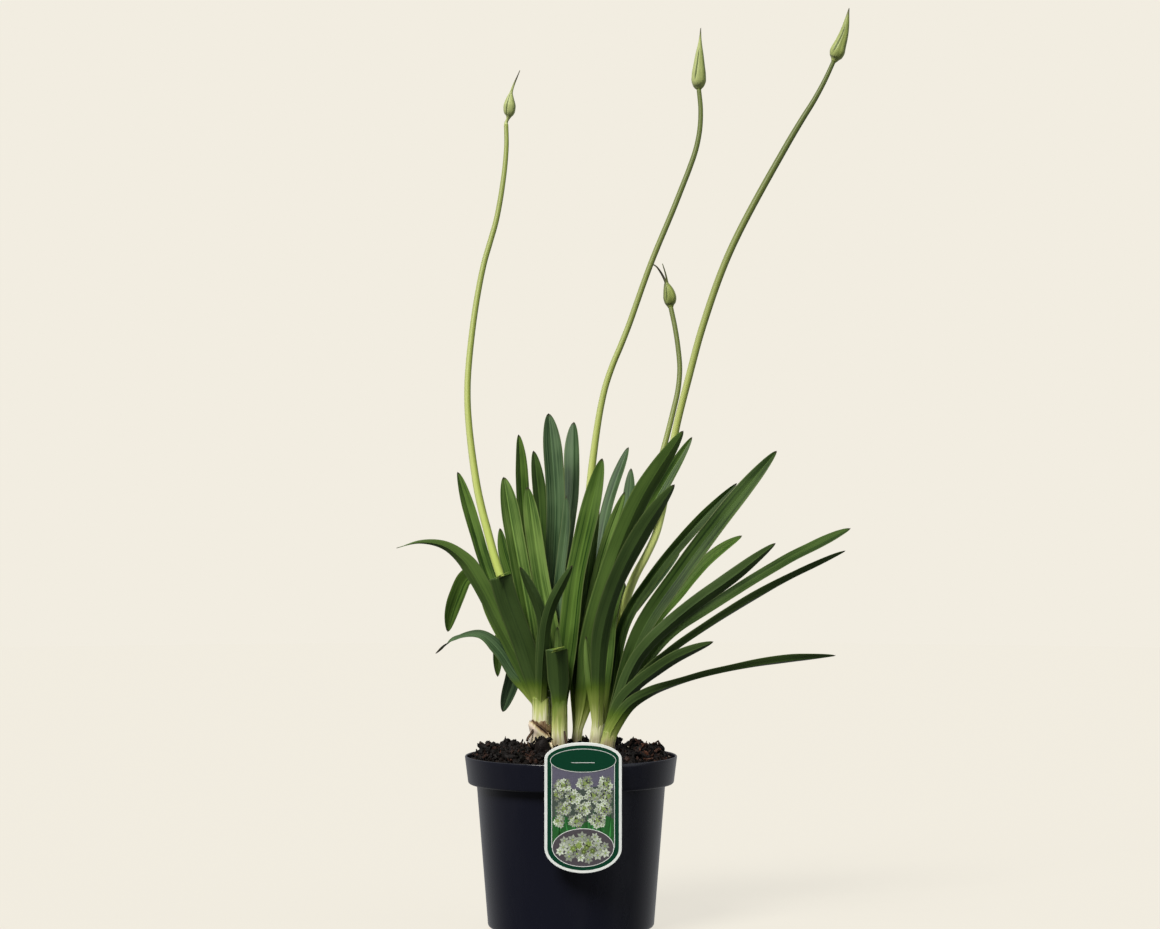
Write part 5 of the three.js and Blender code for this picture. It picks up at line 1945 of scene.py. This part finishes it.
# The low shoot at the front right.
RIGHT_LAYERS = (
    Leaf(
        DEEP_AND_SHADED, 11, -0.22,
        ((43, 173), (55, 183), (76, 192), (103, 200), (158, 211.5), (212, 217)), roll=56,
    ),
    Leaf(DEEP_AND_SHADED, 12, -0.15, ((42, 182), (58, 197), (82, 214), (114, 228)), roll=25, taper=50),
    Leaf(DEEP_AND_SHADED, 11, -0.09, ((58, 200), (103, 236), (160, 271), (220, 301)), roll=56),
    Leaf(DEEP_AND_SHADED, 12, -0.03, ((53, 214), (90, 251), (131, 281), (164, 307)), roll=20, taper=55),
    Leaf(DEEP_AND_SHADED, 15.5, 0.04, ((54, 231), (90, 286), (128, 336), (165, 381)), taper=70, roll=20),
)

# The shoot behind it, with the tallest scape.
RIGHT_REAR_LAYERS = (
    Leaf(DEEP_AND_SHADED, 10, 0, ((42, 240), (66, 280), (98, 319), (133, 355)), taper=60),
    Scape(
        "stem_right", 0.05,
        ((45, 264), (69, 317), (84, 398), (95, 442), (106, 482), (128, 542), (176.5, 632),
         (199.5, 670), (210.5, 693)),
        bud=Bud(
            "bud_right", ((214, 702), (219, 716), (223, 736)),
            ((0, 1.9), (0.06, 3.5), (0.12, 5.5), (0.2, 6.2), (0.34, 5.2), (0.54, 3.8), (0.71, 2.6),
             (0.87, 1.3), (1, 0.3)),
            dry_from=0.85, light=0.6,
        ),
        radii=(4.4, 3.6, 3.0, 2.9, 2.9, 2.7, 1.8), ripe=0.85,
        # Its low stretch is paler still: painted light where it lies in shade among the leaves.
        lime=(0.28, 0.43), pallor_and_painted_light=0.93, root=4.6,
    ),
    Leaf(GREY, 9, 0.11, ((38, 233), (55, 259), (87, 299)), roll=35),
    Leaf(LEAF, 11, 0.17, ((58, 230), (87, 266), (112, 295), (137, 313)), roll=38),
    Leaf(DEEP_AND_SHADED, 11.5, 0.23, ((70, 225), (115, 257), (170, 291), (224, 319)), roll=48),
    Leaf(DEEP_AND_SHADED, 13, 0.32, ((32, 215), (38, 250), (43, 275)), roll=30),
)

SHOOTS = (
    Shoot("left", (-24, 0), (-24, 0), 180, (7.3, 8.4), LEFT_LAYERS, (160, 205)),
    Shoot("left_rear", (-19, 24), (-22.5, 24), 184, (7, 10), LEFT_REAR_LAYERS, (157, 197)),
    Shoot("front", (-9.5, -9), (-9, -9), 180, (6.2, 9), FRONT_LAYERS, (146, 194)),
    Shoot("middle", (0.5, 8), (5.5, 8), 156, (4.2, 10), MIDDLE_LAYERS, (138, 212)),
    Shoot("right_middle", (16.5, -9), (21.5, -9), 160, (5.4, 9.4), RIGHT_MIDDLE_LAYERS, (140, 215)),
    Shoot("right", (24.5, -25), (30.5, -25.5), 155, (5.8, 6.2), RIGHT_LAYERS, (134, 185)),
    Shoot("right_rear", (25, 12), (31, 12), 160, (6, 9.5), RIGHT_REAR_LAYERS, (130, 200)),
)


# ------------ the room and the camera


@dataclass
class Studio:
    """A pale floor and backdrop, soft light and the camera."""

    view_width: float = 1160.0  # the picture's width, in pixels
    focal: float = 3118.0  # pixels that a length spans from a distance as long
    sensor: float = 36.0
    paper: Color = (0.888, 0.847, 0.753)
    floor_share: float = 0.12  # the floor's reflectance, over the paper's colour
    floor_glow: float = 0.823
    floor_disc: tuple[int, float, float] = (96, 4000.0, -0.4)  # its sides, radius and height
    ambient: Pair = (0.14, 0.75)  # soft light from the front and from behind
    mirror: float = 0.5  # how strong that light is in reflections
    overhead: float = 0.15
    daylight: Color = (0.97, 0.98, 1.0)

    def camera(self) -> None:
        """Sets the camera at the eye, level, looking along +Y."""
        data = bpy.data.cameras.new("camera")
        data.sensor_width = self.sensor
        data.lens = self.focal * self.sensor / self.view_width
        data.clip_end = 100.0
        camera = linked("camera", data)
        camera.location = EYE * MM
        camera.rotation_euler = (math.pi / 2, 0.0, 0.0)
        bpy.context.scene.camera = camera

    def sun(self, name: str, energy: float, angle: float, toward: Pair, color: Color) -> None:
        """A soft sun from an azimuth (0 is behind the camera, 90 its right) and an elevation."""
        data = bpy.data.lights.new(name, "SUN")
        data.energy = energy
        data.angle = math.radians(angle)
        data.color = color
        azimuth, elevation = toward
        linked(name, data).rotation_euler = (math.radians(90.0 - elevation), 0.0, math.radians(azimuth))

    def floor(self) -> None:
        """A round floor that glows, so that it runs into the backdrop with no line."""
        tree = Tree(bpy.data.materials.new("paper_floor"))
        color = lighter(self.paper, self.floor_share)
        glow = {"Emission_Color": self.paper, "Emission_Strength": self.floor_glow}
        material = tree.finish(color, 1.0, 0.0, **glow)
        sides, radius, height = self.floor_disc
        rim = columns(*polar(around(sides), radius, radius).T, height) * MM
        mesh = bpy.data.meshes.new("floor")
        mesh.from_pydata(rim.tolist(), [], [list(range(sides))])
        mesh.materials.append(material)
        floor = linked("floor", mesh)
        floor.visible_diffuse = False
        floor.visible_glossy = False

    def backdrop(self) -> None:
        """Pale paper behind the plant, and soft light that is dim from the front and strong from behind."""
        world = bpy.data.worlds.new("paper")
        tree = Tree(world)
        seen = next(n for n in tree.nodes if n.type == "BACKGROUND")
        tree.feed(seen.inputs["Color"], self.paper)
        _, back, up = tree.split(tree.node("ShaderNodeTexCoord", {}).outputs["Generated"])
        above = tree.step(up, 0.3, 1.0, 0.0, self.overhead)
        glow = tree.math("ADD", tree.step(back, -0.2, 0.9, *self.ambient), above)
        ray = tree.node("ShaderNodeLightPath", {}).outputs
        mirrored = tree.math("MULTIPLY_ADD", ray["Is Glossy Ray"], self.mirror - 1.0, 1.0)
        glow = tree.math("MULTIPLY", glow, mirrored)
        light = tree.node("ShaderNodeBackground", {"Color": self.daylight, "Strength": glow})
        feeds = {0: ray["Is Camera Ray"], 1: light.outputs[0], 2: seen.outputs[0]}
        both = tree.node("ShaderNodeMixShader", feeds)
        outlet = next(n for n in tree.nodes if n.type == "OUTPUT_WORLD")
        tree.feed(outlet.inputs["Surface"], both.outputs[0])
        bpy.context.scene.world = world

    def build(self) -> None:
        """Sets up the room, the lights and the camera."""
        self.camera()
        self.floor()
        self.backdrop()
        self.sun("key", 4.2, 22.0, (-34.0, 48.0), (1.0, 0.98, 0.93))
        self.sun("fill", 0.6, 60.0, (65.0, 20.0), (0.93, 0.97, 1.0))
        bpy.context.scene.view_settings.view_transform = "Standard"


# ------------ the plant


def main() -> None:
    """Builds the studio, the pot with its soil and card, and the plant."""
    logging.basicConfig(level=logging.INFO, format="%(name)s: %(message)s")
    Studio().build()
    Pot().build()
    Soil().build()
    CareCard().build()
    finishes = [tone.value for tone in Tone] + [ShootFinish(), StemFinish(), BudFinish()]
    materials = {finish.name: finish.material() for finish in finishes}
    for i, shoot in enumerate(SHOOTS):
        shoot.build(20 * (i + 1), materials)
    PaperyWrap(SHOOTS[0]).build()


if __name__ == "__main__":
    main()
